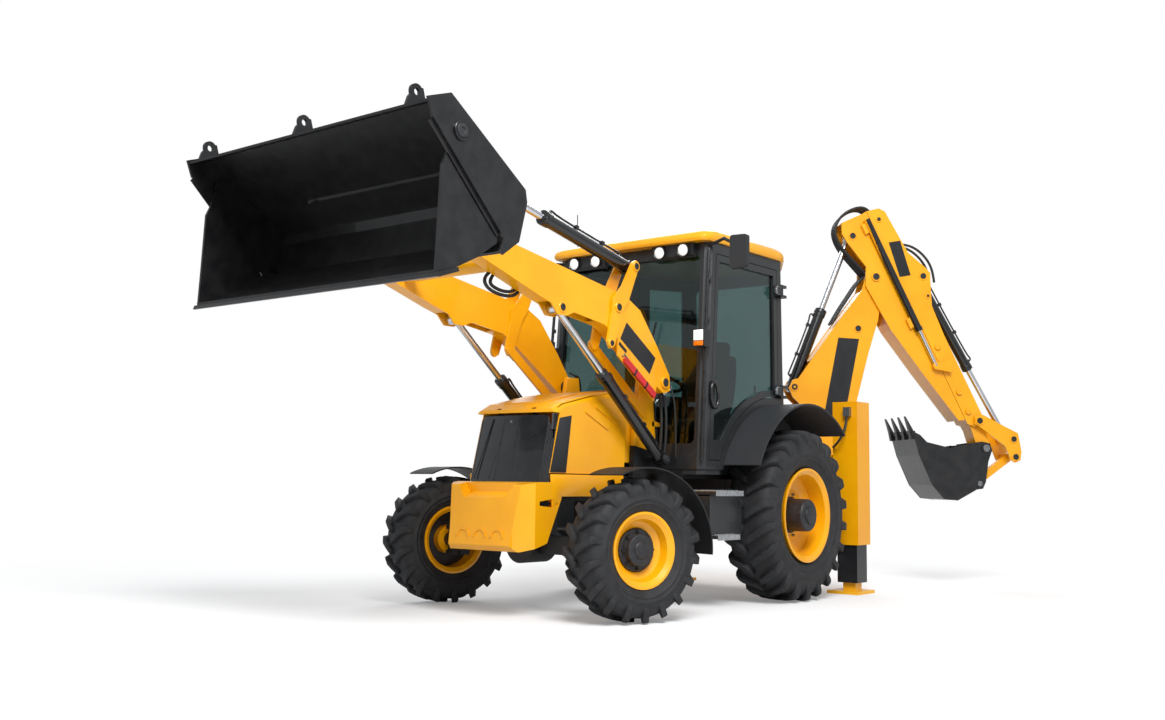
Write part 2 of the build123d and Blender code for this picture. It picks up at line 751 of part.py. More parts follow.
# Cab shell: plan corners at the floor and at the roof (x, half width), front to rear
cab_plan_low = [(1120.0, 740.0), (1085.0, 800.0), (-130.0, 800.0), (-740.0, 480.0)]
cab_plan_high = [(985.0, 720.0), (950.0, 778.0), (-110.0, 778.0), (-610.0, 465.0)]


def cab_plan(plan, height, inset):
    """Closed cab plan at one height, moved inwards by a wall or a depth."""
    corners = [(x, y) for x, y in plan] + [(x, -y) for x, y in reversed(plan)]
    with BuildSketch(Plane.XY.offset(height)) as outline:
        with BuildLine():
            Polyline(*corners, close=True)
        make_face()
        if inset:
            offset(amount=-inset, kind=Kind.INTERSECTION, mode=Mode.REPLACE)
    return outline.sketch


def cab_solid(inset, mode=Mode.ADD):
    """Cab volume between floor and roof, inside the outer face by the inset."""
    loft(
        [cab_plan(cab_plan_low, cab_floor, inset), cab_plan(cab_plan_high, cab_top, inset)],
        ruled=True,
        mode=mode,
    )


def across(outline, y_low, y_high, mode, shrink=0.0, arch=0.0):
    """Prism across the machine over a side outline, kept off the wheel arch."""
    with BuildSketch(side((y_low + y_high) / 2)) as face:
        with BuildLine():
            Polyline(*outline, close=True)
        make_face()
        if shrink:
            offset(amount=-shrink, kind=Kind.INTERSECTION, mode=Mode.REPLACE)
        if arch:
            with Locations(arch_centre):
                Circle(arch + shrink, mode=Mode.SUBTRACT)
    extrude(face.sketch, amount=(y_high - y_low) / 2, both=True, mode=mode)


def lengthwise(outline, x_low, x_high, mode):
    """Prism along the machine over an outline seen from the front (y, z)."""
    with BuildSketch(Plane(origin=(x_low, 0, 0), x_dir=(0, 1, 0), z_dir=(1, 0, 0))) as face:
        with BuildLine():
            FilletPolyline(*outline, radius=45, close=True)
        make_face()
    extrude(face.sketch, amount=x_high - x_low, mode=mode)


door_outline = [(1040.0, 1130.0), (905.0, 2775.0), (-45.0, 2775.0), (-45.0, 1130.0)]
door_window = [(975.0, 1290.0), (862.0, 2715.0), (15.0, 2715.0), (15.0, 1290.0)]
quarter_window = [(-215.0, 1760.0), (-200.0, 2760.0), (-520.0, 2760.0), (-560.0, 1760.0)]
door_sweep = 60.0
door_sill_arch = arch_r + door_sweep
window_frame = 60.0
hinge_above_arch = 83.0
door_hinge_levels = (rear_hub_z + arch_r + hinge_above_arch, 2560.0)
hinge_strap = 60.0
hinge_lug_height = 24.0
hinge_r = 15.0
hinge_pin_r = 8.0


def windscreen(mode):
    """Opening of the front screen."""
    lengthwise([(-705, 1260), (705, 1260), (685, 2760), (-685, 2760)], 800, 1300, mode)


def rear_screen(mode):
    """Opening of the rear screen."""
    lengthwise([(-440, 1500), (440, 1500), (425, 2760), (-425, 2760)], -900, -500, mode)


def quarter(sign, mode):
    """Opening of one rear quarter window."""
    low, high = sorted((sign * 330, sign * 900))
    across(quarter_window, low, high, mode)


with BuildPart() as cab_frame:
    cab_solid(0)
    cab_solid(cab_wall, Mode.SUBTRACT)
    across(door_outline, -900, 900, Mode.SUBTRACT, arch=door_sill_arch)
    windscreen(Mode.SUBTRACT)
    rear_screen(Mode.SUBTRACT)
    for sign in (-1, 1):
        quarter(sign, Mode.SUBTRACT)
        low, high = sorted((sign * (fender_inner - 10), sign * 900))
        with BuildSketch(side((low + high) / 2)) as arch:
            with Locations(arch_centre):
                Circle(arch_r)
        extrude(arch.sketch, amount=(high - low) / 2, both=True, mode=Mode.SUBTRACT)
        for z in door_hinge_levels:
            for level in (z - hinge_lug_height, z + hinge_strap):
                rest = seat_gap if level > z else -seat_gap
                low, high = sorted((sign * 770, sign * (door_hinge[1] + 8)))
                block((-125, low, level + rest), (door_hinge[0] - 6, high, level + hinge_lug_height + rest))
                bar(
                    (door_hinge[0], sign * door_hinge[1], level + rest),
                    (door_hinge[0], sign * door_hinge[1], level + hinge_lug_height + rest),
                    hinge_r,
                )
            bar(
                (door_hinge[0], sign * door_hinge[1], z - hinge_lug_height),
                (door_hinge[0], sign * door_hinge[1], z + hinge_strap + hinge_lug_height),
                hinge_pin_r,
            )
save(cab_frame, "cab_frame")


def pane(opening):
    """The stretch of a thin glass shell that one opening frames."""
    with BuildPart() as glass:
        cab_solid(glass_depth)
        cab_solid(glass_depth + glass_thickness, Mode.SUBTRACT)
        opening(Mode.INTERSECT)
    return glass.part


with BuildPart() as cab_glass:
    add(pane(windscreen))
    add(pane(rear_screen))
    add(pane(lambda mode: quarter(1, mode)))
    add(pane(lambda mode: quarter(-1, mode)))
save(cab_glass, "cab_glass")

# Doors: hinged at their rear edge, cut from the same walls as the cab, each with its pane
for label, low, high in (("left", 700.0, 900.0), ("right", -900.0, -700.0)):
    with BuildPart() as door:
        cab_solid(0)
        cab_solid(door_leaf, Mode.SUBTRACT)
        across(door_outline, low, high, Mode.INTERSECT, shrink=door_gap, arch=door_sill_arch)
        across(door_window, -900, 900, Mode.SUBTRACT, arch=door_sill_arch + window_frame)
        sign = 1 if low > 0 else -1
        for z in door_hinge_levels:
            inner, outer = sorted((sign * 770, sign * (door_hinge[1] + 8)))
            block((-36, inner, z), (12, outer, z + hinge_strap))
            inner, outer = sorted((sign * (door_hinge[1] - 14), sign * (door_hinge[1] + 8)))
            block((door_hinge[0], inner, z), (-30, outer, z + hinge_strap))
            hinge_line = (door_hinge[0], sign * door_hinge[1])
            bar((*hinge_line, z), (*hinge_line, z + hinge_strap), hinge_r)
            bar((*hinge_line, z - 1), (*hinge_line, z + hinge_strap + 1), hinge_pin_r + pin_gap, mode=Mode.SUBTRACT)
    save(door, f"door_{label}")
    with BuildPart() as door_glass:
        cab_solid(glass_depth)
        cab_solid(glass_depth + glass_thickness, Mode.SUBTRACT)
        across(door_window, low, high, Mode.INTERSECT, arch=door_sill_arch + window_frame)
    save(door_glass, f"door_glass_{label}")

# Cab floor and lower body: floor plate, front bulkhead and the box under the seat
with BuildPart() as cab_base:
    with BuildSketch(Plane.XY.offset(cab_floor - 40)) as floor_plan:
        with BuildLine():
            Polyline(
                (1110, 730), (1080, 790), (870, 790), (840, fender_inner - 2), (-440, fender_inner - 2),
                (-735, 478), (-735, -478), (-440, -fender_inner + 2), (840, -fender_inner + 2),
                (870, -790), (1080, -790), (1110, -730), close=True,
            )
        make_face()
    extrude(floor_plan.sketch, amount=40)
    block((-330, -330, cab_floor), (330, 330, cab_floor + 190))
save(cab_base, "cab_base")

# Cab roof: a thin domed lid that overhangs the front screen
roof_edge = 45.0
roof_bow = 24.0


def roof_plan(height, front, grow):
    """Plan of the roof at one height."""
    with BuildSketch(Plane.XY.offset(height)) as outline:
        with BuildLine():
            ThreePointArc((front, -735 - grow), (front + roof_bow, 0), (front, 735 + grow))
            Polyline(
                (front, 735 + grow), (front - 35, 800 + grow), (-130 - grow, 800 + grow), (-640 - grow, 480 + grow),
                (-640 - grow, -480 - grow), (-130 - grow, -800 - grow), (front - 35, -800 - grow), (front, -735 - grow),
            )
        make_face()
    return outline.sketch


with BuildPart() as cab_roof:
    extrude(roof_plan(cab_top, 1070, 0), amount=roof_edge)
    loft([roof_plan(cab_top + roof_edge, 1070, 0), roof_plan(cab_top + 118, 900, -150)], ruled=True)
save(cab_roof, "cab_roof")

# Lamps: four round work lamps in two dark pods under the roof, and a marker lamp on each front pillar
work_lamp_r = 50.0
work_lamp_z = cab_top - 58
pod_front = 1036.0
pod_foot = cab_top - 116
pod_rest = 0.3
screen_slope = (cab_plan_low[0][0] - cab_plan_high[0][0]) / (cab_top - cab_floor)
pod_side = [
    (cab_plan_high[0][0] + screen_slope * (cab_top - pod_foot), pod_foot),
    (pod_front - 20, pod_foot),
    (pod_front, pod_foot + 20),
    (pod_front, cab_top - pod_rest),
    (cab_plan_high[0][0] + screen_slope * pod_rest, cab_top - pod_rest),
]
with BuildPart() as lamps:
    for sign in (-1, 1):
        low, high = sorted((sign * 735, sign * 835))
        block((1085, low, 2005), (1165, high, 2140))
        low, high = sorted((sign * 735, sign * 775))
        block((990, low, 2050), (1085, high, 2090))
    cab_solid(0, Mode.SUBTRACT)
    for sign in (-1, 1):
        slab(pod_side, side(sign * 445), 400)
        for y in (330, 560):
            bar((pod_front - 2, sign * y, work_lamp_z), (pod_front + 12, sign * y, work_lamp_z), work_lamp_r)
            bar((pod_front + 12, sign * y, work_lamp_z), (pod_front + 20, sign * y, work_lamp_z), work_lamp_r - 8)
save(lamps, "lamps")

# Mirrors: a head on a bent arm from each front pillar, clear of the door's swing
with BuildPart() as mirrors:
    for sign in (-1, 1):
        bar((930, sign * 700, 2830), (1110, sign * 985, 2840), 13)
        bar((1110, sign * 975, 2840), (1110, sign * 1110, 2770), 13)
        low, high = sorted((sign * 1050, sign * 1200))
        slab(
            [(low, 2585), (high, 2600), (high, 2845), (low, 2850)],
            Plane(origin=(1118, 0, 0), x_dir=(0, 1, 0), z_dir=(1, 0, 0)),
            44,
            corner=22,
        )
    cab_solid(0, Mode.SUBTRACT)
save(mirrors, "mirrors")

# Seat on its pedestal
with BuildPart() as seat:
    block((-120, -150, cab_floor + 190), (180, 150, cab_floor + 330))
    slab([(-200, 1390), (300, 1390), (330, 1440), (310, 1500), (-190, 1490)], side(), 480, corner=18)
    slab([(-190, 1492), (-70, 1492), (-210, 2180), (-310, 2180), (-320, 2080)], side(), 440, corner=18)
save(seat, "seat")

# Controls: steering column with its wheel, front console and the two lever pods
wheel_hub = Vector(560, 0, 1800)
column_foot = Vector(790, 0, cab_floor)
with BuildPart() as controls:
    bar(column_foot + Vector(0, 0, 20), wheel_hub, 32)
    wheel_plane = Plane(origin=wheel_hub, z_dir=wheel_hub - column_foot)
    bar(wheel_hub, wheel_hub + wheel_plane.z_dir * 22, 46)
    with BuildSketch(Plane(origin=wheel_hub, x_dir=wheel_plane.x_dir, z_dir=wheel_plane.y_dir)) as grip:
        with Locations((190, 10)):
            Circle(15)
    revolve(grip.sketch, axis=Axis(wheel_hub, wheel_plane.z_dir))
    for turn in (90, 210, 330):
        spoke = wheel_plane.x_dir.rotate(Axis((0, 0, 0), wheel_plane.z_dir), turn)
        bar(wheel_hub + wheel_plane.z_dir * 10, wheel_hub + wheel_plane.z_dir * 10 + spoke * 188, 9)
    block((820, -300, cab_floor), (960, 300, cab_floor + 420))
    for sign in (-1, 1):
        low, high = sorted((sign * 330, sign * 450))
        block((-420, low, cab_floor), (-230, high, cab_floor + 560))
        bar((-330, sign * 390, cab_floor + 560), (-350, sign * 380, cab_floor + 760), 10)
save(controls, "controls")

# Loader arms: two cranked hollow box arms joined by a cross tube, open below at the lift clevis
arm_outline = [
    (arm_pivot[0] - 78, arm_pivot[1] - 60),
    (arm_pivot[0] - 70, arm_pivot[1] + 60),
    (1406, 1999),
    (1624, 2245),
    (1789, 2324),
    (1950, 2356),
    (3005, 2522),
    (shovel_pivot[0] - 40, shovel_pivot[1] + 84),
    (shovel_pivot[0] + 80, shovel_pivot[1] + 45),
    (shovel_pivot[0] + 80, shovel_pivot[1] - 45),
    (shovel_pivot[0] - 60, shovel_pivot[1] - 82),
    (2803, 2219),
    (lift_eye[0] + 120, lift_eye[1] + 16),
    (lift_eye[0] + 50, lift_eye[1] - 56),
    (lift_eye[0] - 50, lift_eye[1] - 56),
    (lift_eye[0] - 130, lift_eye[1] - 22),
    (2059, 2093),
    (1932, 2023),
    (1383, 1673),
    (arm_pivot[0] + 5, arm_pivot[1] - 84),
]
clevis_opening = [
    (lift_eye[0] - 400, lift_eye[1] - 140),
    (lift_eye[0] - 400, lift_eye[1] + 40),
    (lift_eye[0] + 150, lift_eye[1] + 60),
    (lift_eye[0] + 150, lift_eye[1] - 140),
]
cross_tube = (3080.0, 2408.0)
stowage_plate = [(1400, 1700), (1900, 2020), (1900, 1880), (1440, 1570)]
strut_low = (1450.0, 1612.0)
strut_high = (1830.0, 1856.0)
strut_width = 50.0
strut_depth = 22.0
strut_length = hypot(strut_high[0] - strut_low[0], strut_high[1] - strut_low[1])
strut_slope = degrees(atan2(strut_high[1] - strut_low[1], strut_high[0] - strut_low[0]))
with BuildPart() as loader_arms:
    arm_middle = (arm_inner + arm_outer) / 2
    arm_width = arm_outer - arm_inner
    slab(arm_outline, side(arm_middle), arm_width, corner=28)
    with BuildSketch(side(arm_middle)) as hollow:
        with BuildLine():
            Polyline(*arm_outline, close=True)
        make_face()
        offset(amount=-arm_plate, kind=Kind.INTERSECTION, mode=Mode.REPLACE)
    extrude(hollow.sketch, amount=arm_width / 2 - arm_plate, both=True, mode=Mode.SUBTRACT)
    slab(clevis_opening, side(arm_middle), arm_width - 2 * arm_plate, mode=Mode.SUBTRACT)
    for pivot, radius in ((arm_pivot, arm_pin_r), (lever_pivot, lever_pin_r), (shovel_pivot, arm_pin_r)):
        disc(pivot, side(arm_middle), radius + 22, arm_width)
        disc(pivot, side(arm_middle), radius + pin_gap, arm_width + 20, mode=Mode.SUBTRACT)
    mirror(about=Plane.XZ)
    bar((cross_tube[0], -arm_inner, cross_tube[1]), (cross_tube[0], arm_inner, cross_tube[1]), 52)
    slab(stowage_plate, side(arm_outer - arm_plate / 2), arm_plate)
save(loader_arms, "loader_arms")

# Tipping levers: two plates each side of the arm on three pins
lever_inner_y = arm_inner - side_gap - lever_plate / 2
lever_outer_y = arm_outer + side_gap + lever_plate / 2
link_y = arm_inner - 2 * side_gap - lever_plate - link_plate / 2
lever_outline = [
    (lever_top[0] - 48, lever_top[1] + 15),
    (lever_top[0] - 5, lever_top[1] + 50),
    (lever_top[0] + 44, lever_top[1] + 22),
    (1880, 2400),
    (lever_pivot[0] + 62, lever_pivot[1] + 60),
    (lever_pivot[0] + 70, lever_pivot[1] - 40),
    (lever_low[0] + 44, lever_low[1] + 10),
    (lever_low[0] + 10, lever_low[1] - 46),
    (lever_low[0] - 42, lever_low[1] - 16),
    (lever_pivot[0] - 62, lever_pivot[1] - 20),
    (1800, 2300),
]
with BuildPart() as tipping_levers:
    slab(lever_outline, side(lever_inner_y), lever_plate, corner=16)
    slab(lever_outline, side(lever_outer_y), lever_plate, corner=16)
    for pivot, radius in ((lever_top, ram_pin_r), (lever_pivot, lever_pin_r)):
        bar(
            (pivot[0], lever_inner_y - lever_plate / 2, pivot[1]),
            (pivot[0], lever_outer_y + lever_plate / 2 + 8, pivot[1]),
            radius,
        )
    bar(
        (lever_low[0], link_y - link_plate / 2 - 2, lever_low[1]),
        (lever_low[0], lever_inner_y, lever_low[1]),
        link_pin_r,
    )
    bar(
        (lever_low[0], lever_outer_y, lever_low[1]),
        (lever_low[0], lever_outer_y + lever_plate / 2 + 8, lever_low[1]),
        link_pin_r,
    )
    mirror(about=Plane.XZ)
save(tipping_levers, "tipping_levers")

# Levelling links: flat bars from the towers to the levers' low pins
with BuildPart() as levelling_links:
    link_run = side(link_y)
    middle = ((link_anchor[0] + lever_low[0]) / 2, (link_anchor[1] + lever_low[1]) / 2)
    length = hypot(lever_low[0] - link_anchor[0], lever_low[1] - link_anchor[1])
    with BuildSketch(link_run) as shape:
        with Locations(middle):
            slope = degrees(atan2(lever_low[1] - link_anchor[1], lever_low[0] - link_anchor[0]))
            SlotCenterToCenter(length, 2 * link_half, rotation=slope)
        with Locations(lever_low):
            Circle(link_pin_r + pin_gap, mode=Mode.SUBTRACT)
    extrude(shape.sketch, amount=link_plate / 2, both=True)
    mirror(about=Plane.XZ)
save(levelling_links, "levelling_links")

# Lift rams under the arms and shovel rams above them, in the arms' plane
with BuildPart() as lift_barrels:
    ram_barrel(
        lift_base, lift_eye, side(ram_y), lift_barrel_r, lift_rod_r, lift_barrel_length, ram_eye_width, ram_pin_r
    )
    mirror(about=Plane.XZ)
save(lift_barrels, "lift_ram_barrels")
with BuildPart() as lift_rods:
    ram_rod(lift_base, lift_eye, side(ram_y), lift_rod_r, lift_rod_inner, ram_eye_width, ram_pin_r)
    mirror(about=Plane.XZ)
save(lift_rods, "lift_ram_rods")
with BuildPart() as shovel_barrels:
    ram_barrel(
        lever_top,
        shovel_eye,
        side(ram_y),
        shovel_barrel_r,
        shovel_rod_r,
        shovel_barrel_length,
        ram_eye_width,
        ram_pin_r,
    )
    mirror(about=Plane.XZ)
save(shovel_barrels, "shovel_ram_barrels")
with BuildPart() as shovel_rods:
    ram_rod(lever_top, shovel_eye, side(ram_y), shovel_rod_r, shovel_rod_inner, ram_eye_width, ram_pin_r)
    mirror(about=Plane.XZ)
save(shovel_rods, "shovel_ram_rods")

# Safety strut: a red bar stowed on the left arm's stowage plate
with BuildPart() as safety_strut:
    strut_side = side(arm_outer + seat_gap + strut_depth / 2)
    with BuildSketch(strut_side) as bar_face:
        with Locations(((strut_low[0] + strut_high[0]) / 2, (strut_low[1] + strut_high[1]) / 2)):
            Rectangle(strut_length, strut_width, rotation=strut_slope)
    extrude(bar_face.sketch, amount=strut_depth / 2, both=True)
save(safety_strut, "safety_strut")

# Shovel pins through the arm tips
lug_inner_y = lever_inner_y
lug_outer_y = lever_outer_y
with BuildPart() as shovel_pins:
    bar(
        (shovel_pivot[0], lug_inner_y - lever_plate / 2 - 6, shovel_pivot[1]),
        (shovel_pivot[0], lug_outer_y + lever_plate / 2 + 6, shovel_pivot[1]),
        arm_pin_r,
    )
    mirror(about=Plane.XZ)
save(shovel_pins, "shovel_pins")

# Shovel back: side plates, a folded back plate and four lug plates for the arms and rams
shovel_side = [
    (4447, 3068),
    (4266, 3133),
    (3622, 2698),
    (3606, 2619),
    (3673, 2370),
    (3812, 2272),
    (3836, 2300),
    (3809, 2376),
    (4407, 2964),
]
back_line = [(4432, 3053), (4262, 3117), (3634, 2692), (3622, 2622), (3686, 2380), (3814, 2288)]
lug_outline = [
    (shovel_pivot[0] - 62, shovel_pivot[1] - 30),
    (shovel_pivot[0] - 55, shovel_pivot[1] + 60),
    (shovel_eye[0] - 58, shovel_eye[1] - 20),
    (shovel_eye[0] - 30, shovel_eye[1] + 55),
    (shovel_eye[0] + 50, shovel_eye[1] + 40),
    (4040, 2966),
    (3636, 2692),
    (3623, 2622),
    (3664, 2462),
    (shovel_pivot[0] + 30, shovel_pivot[1] - 66),
]


def folded_plate(line, plane, thickness, width, mode=Mode.ADD):
    """Bent sheet along a line of folds, its middle on the line."""
    with BuildSketch(plane) as section:
        with BuildLine():
            bend = Polyline(*line)
        trace(lines=bend, line_width=thickness)
    extrude(section.sketch, amount=width / 2, both=True, mode=mode)


with BuildPart() as shovel:
    folded_plate(back_line, side(), shovel_wall, 2 * (shovel_half - shovel_wall))
    for y in (lug_inner_y, lug_outer_y, -lug_inner_y, -lug_outer_y):
        slab(lug_outline, side(y), lever_plate)
        disc(shovel_pivot, side(y), arm_pin_r + pin_gap, lever_plate + 20, mode=Mode.SUBTRACT)
        disc(shovel_eye, side(y), ram_pin_r, lever_plate + 20, mode=Mode.SUBTRACT)
    with BuildSketch(side()) as chamber:
        with BuildLine():
            Polyline(
                (4432, 3040), (4262, 3107), (3644, 2688), (3632, 2622), (3694, 2385), (3836, 2292),
                (5000, 2292), (5000, 3040), close=True,
            )
        make_face()
    extrude(chamber.sketch, amount=shovel_half - shovel_wall, both=True, mode=Mode.SUBTRACT)
    for y in (shovel_half - shovel_wall / 2, -(shovel_half - shovel_wall / 2)):
        slab(shovel_side, side(y), shovel_wall)
        sign = 1 if y > 0 else -1
        bar((clam_pivot[0], y, clam_pivot[1]), (clam_pivot[0], y + sign * 20, clam_pivot[1]), 42)
        bar(
            (clam_pivot[0], y, clam_pivot[1]),
            (clam_pivot[0], sign * (clam_half - clam_wall - 4), clam_pivot[1]),
            26,
        )
save(shovel, "shovel")

# Three pierced lifting lugs on the shovel's top edge
lifting_bore = 21.0
lifting_places = (-1060.0, -60.0, 950.0)
lifting_wall = 20.0
with BuildPart() as shovel_lugs:
    for y in lifting_places:
        with BuildSketch(side(y)) as lug:
            with BuildLine():
                Polyline((4270, 3123.2), (4420, 3066.3), (4400, 3120), (4345, 3190), (4290, 3190), close=True)
            make_face()
            with Locations((4340, 3158)):
                Circle(48)
                Circle(lifting_bore, mode=Mode.SUBTRACT)
        extrude(lug.sketch, amount=lifting_wall / 2, both=True)
    slab(
        [(4432, 3061.8), (4262, 3125.7), (4262, 3000), (4432, 3000)], side(), 3000, mode=Mode.SUBTRACT
    )
save(shovel_lugs, "shovel_lugs")

# Clam: curved floor with its cutting edge, and cheeks that hang from the shovel's side pivots
clam_cheek = [
    (4267, 2788),
    (4300, 2717),
    (4318, 2333),
    (4331, 2100),
    (4186, 2141),
    (4003, 2230),
    (3842, 2339),
    (3840, 2372),
]
floor_line = [(3846, 2352), (4003, 2240), (4186, 2151), (4331, 2104)]
with BuildPart() as clam:
    folded_plate(floor_line, side(), 16, 2 * clam_half)
    slab([(4180, 2146), (4335, 2096), (4345, 2070), (4326, 2070), (4170, 2122)], side(), 2 * shovel_half)
    for sign in (-1, 1):
        cheek_y = sign * (clam_half - clam_wall / 2)
        slab(clam_cheek, side(cheek_y), clam_wall)
        slab([(4150, 2920), (4215, 2945), (4285, 2740), (4170, 2690)], side(cheek_y), clam_wall)
        disc(clam_pivot, side(cheek_y), 48, clam_wall)
        disc(clam_pivot, side(cheek_y), 26 + pin_gap, clam_wall + 30, mode=Mode.SUBTRACT)
save(clam, "clam")

# Backhoe frame: two upright sleeves for the stabilisers, joined by two box beams
frame_face = leg_x - sleeve_width / 2
frame_front = leg_x + sleeve_width / 2
low_beam = (460.0, 620.0)
high_beam = (1060.0, 1220.0)
beam_depth = 130.0
with BuildPart() as backhoe_frame:
    sleeve_half = sleeve_width / 2
    hole_half = sleeve_half - sleeve_wall
    for sign in (-1, 1):
        block(
            (leg_x - sleeve_half, sign * leg_y - sleeve_half, sleeve_low),
            (leg_x + sleeve_half, sign * leg_y + sleeve_half, sleeve_high),
        )
    for low, high in (low_beam, high_beam):
        block(
            (frame_face, -leg_y + sleeve_half, low),
            (frame_face + beam_depth, leg_y - sleeve_half, high),
        )
    for y in (-rail_y, rail_y):
        block((frame_face, y - 20, low_beam[0]), (frame_front, y + 20, high_beam[1]))
    for sign in (-1, 1):
        block(
            (leg_x - hole_half, sign * leg_y - hole_half, sleeve_low - 10),
            (leg_x + hole_half, sign * leg_y + hole_half, sleeve_high - sleeve_wall),
            mode=Mode.SUBTRACT,
        )
        strip = leg_width / 2 + seat_gap
        block(
            (leg_x - hole_half - 1, sign * leg_y - hole_half - 1, sleeve_low + 6),
            (leg_x + hole_half + 1, sign * leg_y + hole_half + 1, sleeve_low + 90),
        )
        block(
            (leg_x - strip, sign * leg_y - strip, sleeve_low),
            (leg_x + strip, sign * leg_y + strip, sleeve_low + 100),
            mode=Mode.SUBTRACT,
        )
save(backhoe_frame, "backhoe_frame")

# Stabilisers: inner leg, ankle and broad foot
foot_size = (330.0, 300.0)
foot_shift = 30.0
for label, sign in (("stabiliser_left", 1), ("stabiliser_right", -1)):
    with BuildPart() as stabiliser:
        y = sign * leg_y
        half = leg_width / 2
        block((leg_x - half, y - half, leg_low), (leg_x + half, y + half, leg_high))
        block((leg_x - 60, y - 60, foot_height - 4), (leg_x + 60, y + 60, leg_low))
        foot_y = sign * (leg_y - foot_shift)
        block(
            (leg_x - foot_shift - foot_size[0] / 2, foot_y - foot_size[1] / 2, 0),
            (leg_x - foot_shift + foot_size[0] / 2, foot_y + foot_size[1] / 2, foot_height),
        )
    save(stabiliser, label)

# Carriage: the plate clamped to the beams, with two jaws for the slewing post
jaw_levels = ((460.0, 540.0), (1000.0, 1080.0))
carriage_plate = 33.0
jaw_root = 120.0
jaw_r = 98.0
with BuildPart() as carriage:
    block((frame_face - carriage_plate, -300, 440), (frame_face, 300, 1240))
    for low, high in jaw_levels:
        with BuildSketch(Plane.XY.offset(low)) as jaw:
            with BuildLine():
                Polyline(
                    (frame_face - carriage_plate, jaw_root),
                    (frame_face - carriage_plate, -jaw_root),
                    (post_x, -jaw_r),
                    (post_x, jaw_r),
                    close=True,
                )
            make_face()
            with Locations((post_x, 0)):
                Circle(jaw_r)
                Circle(jaw_pin_r + pin_gap, mode=Mode.SUBTRACT)
        extrude(jaw.sketch, amount=high - low)
save(carriage, "carriage")

# Slewing post: core between the jaws, two cheeks with the boom foot and the boom ram's ears
cheek_q = 145.0
cheek_width = 30.0
core_r = 92.0
cheek_outline = [
    (-40, 565),
    (-40, 975),
    (140, 975),
    (140, 1090),
    (62, 1100),
    (62, 1330),
    (88, 1366),
    (152, 1366),
    (200, 1300),
    (330, 1010),
    (470, 960),
    (500, 880),
    (470, 800),
    (400, 775),
    (300, 640),
    (180, 565),
]
with BuildPart() as kingpost:
    bar((post_x, 0, jaw_levels[0][1] + seat_gap), (post_x, 0, jaw_levels[1][0] - seat_gap), core_r)
    bar((post_x, 0, jaw_levels[0][0] - 20), (post_x, 0, jaw_levels[1][1] + 20), jaw_pin_r)
    for q in (-cheek_q, cheek_q):
        slab(cheek_outline, swung(q), cheek_width)
    slab([(-20, 600), (-20, 960), (110, 960), (110, 600)], swung(), 2 * cheek_q)
    disc(boom_foot, swung(), boom_pin_r, 2 * cheek_q + cheek_width + 16)
    disc(boom_ram_base, swung(), hoe_pin_r, 2 * cheek_q + cheek_width + 12)
save(kingpost, "slewing_post")

# Boom: two tapering side plates with top and under plates, open towards the post for its ram
boom_outline = [
    (300, 850),
    (270, 1000),
    (262, 1400),
    (205, 1740),
    (150, 1790),
    (110, 1880),
    (150, 1960),
    (205, 1975),
    (521, 2423),
    (846, 2855),
    (890, 3010),
    (960, 3074),
    (1050, 3040),
    (1068, 2960),
    (1005, 2563),
    (900, 2216),
    (785, 1775),
    (510, 880),
    (470, 810),
    (400, 780),
    (330, 800),
]
boom_top_line = [(345, 2149), (529, 2412), (850, 2838)]
boom_under_line = [(1054, 2930), (993, 2566), (888, 2219), (773, 1779), (560, 1090)]
with BuildPart() as boom:
    for q in (-boom_half + boom_plate / 2, boom_half - boom_plate / 2):
        slab(boom_outline, swung(q), boom_plate)
    folded_plate(boom_top_line, swung(), 16, 2 * boom_half)
    folded_plate(boom_under_line, swung(), 16, 2 * boom_half)
    disc(boom_tip, swung(), boom_pin_r + 34, 2 * boom_half)
    disc(boom_foot, swung(), boom_pin_r + 34, 2 * boom_half)
    disc(boom_tip, swung(), boom_pin_r + pin_gap, 2 * boom_half + 20, mode=Mode.SUBTRACT)
    disc(boom_foot, swung(), boom_pin_r + pin_gap, 2 * boom_half + 20, mode=Mode.SUBTRACT)
    disc(dipper_ram_base, swung(), hoe_pin_r, 2 * boom_half + 20)
    for q in (-boom_half + 30, boom_half - 30):
        disc(boom_eye, swung(q), 40, 34)
save(boom, "boom")
with BuildPart() as boom_barrel:
    ram_barrel(
        boom_ram_base,
        boom_eye,
        swung(),
        boom_barrel_r,
        boom_rod_r,
        boom_barrel_length,
        hoe_eye_width,
        hoe_pin_r,
    )
save(boom_barrel, "boom_ram_barrel")
with BuildPart() as boom_rod:
    ram_rod(boom_ram_base, boom_eye, swung(), boom_rod_r, boom_rod_inner, hoe_eye_width, hoe_pin_r)
save(boom_rod, "boom_ram_rod")

# Dipper: fixed outer half, a box with a forked head, and the barrel of its extending ram
seam_top = (885.0, 3631.0)
seam_low = (1860.0, 1600.0)
dipper_outline = [
    (636, 3508),
    (844, 3605),
    seam_top,
    seam_low,
    (1794, 1591),
    (1430, 2055),
    (1123, 2464),
    (874, 2893),
    (880, 3080),
    (690, 3320),
    (640, 3400),
]
fork_opening = [
    (560, 3545),
    (815, 3492),
    (860, 3205),
    (1062, 3066),
    (1100, 2960),
    (1096, 2560),
    (1034, 2190),
    (500, 2190),
    (400, 3300),
]
hollow_outline = [(960, 3320), (1100, 3120), (1190, 2900), (1200, 2560), (1330, 2260), (1500, 2080), (1480, 2300)]
ram_lane = 176.0
ram_lane_r = 32.0
extend_low = (1396.0, 2461.0)
extend_high = toward(extend_low, (extend_low[0] + seam_top[0] - seam_low[0], extend_low[1] + seam_top[1] - seam_low[1]), 1200)
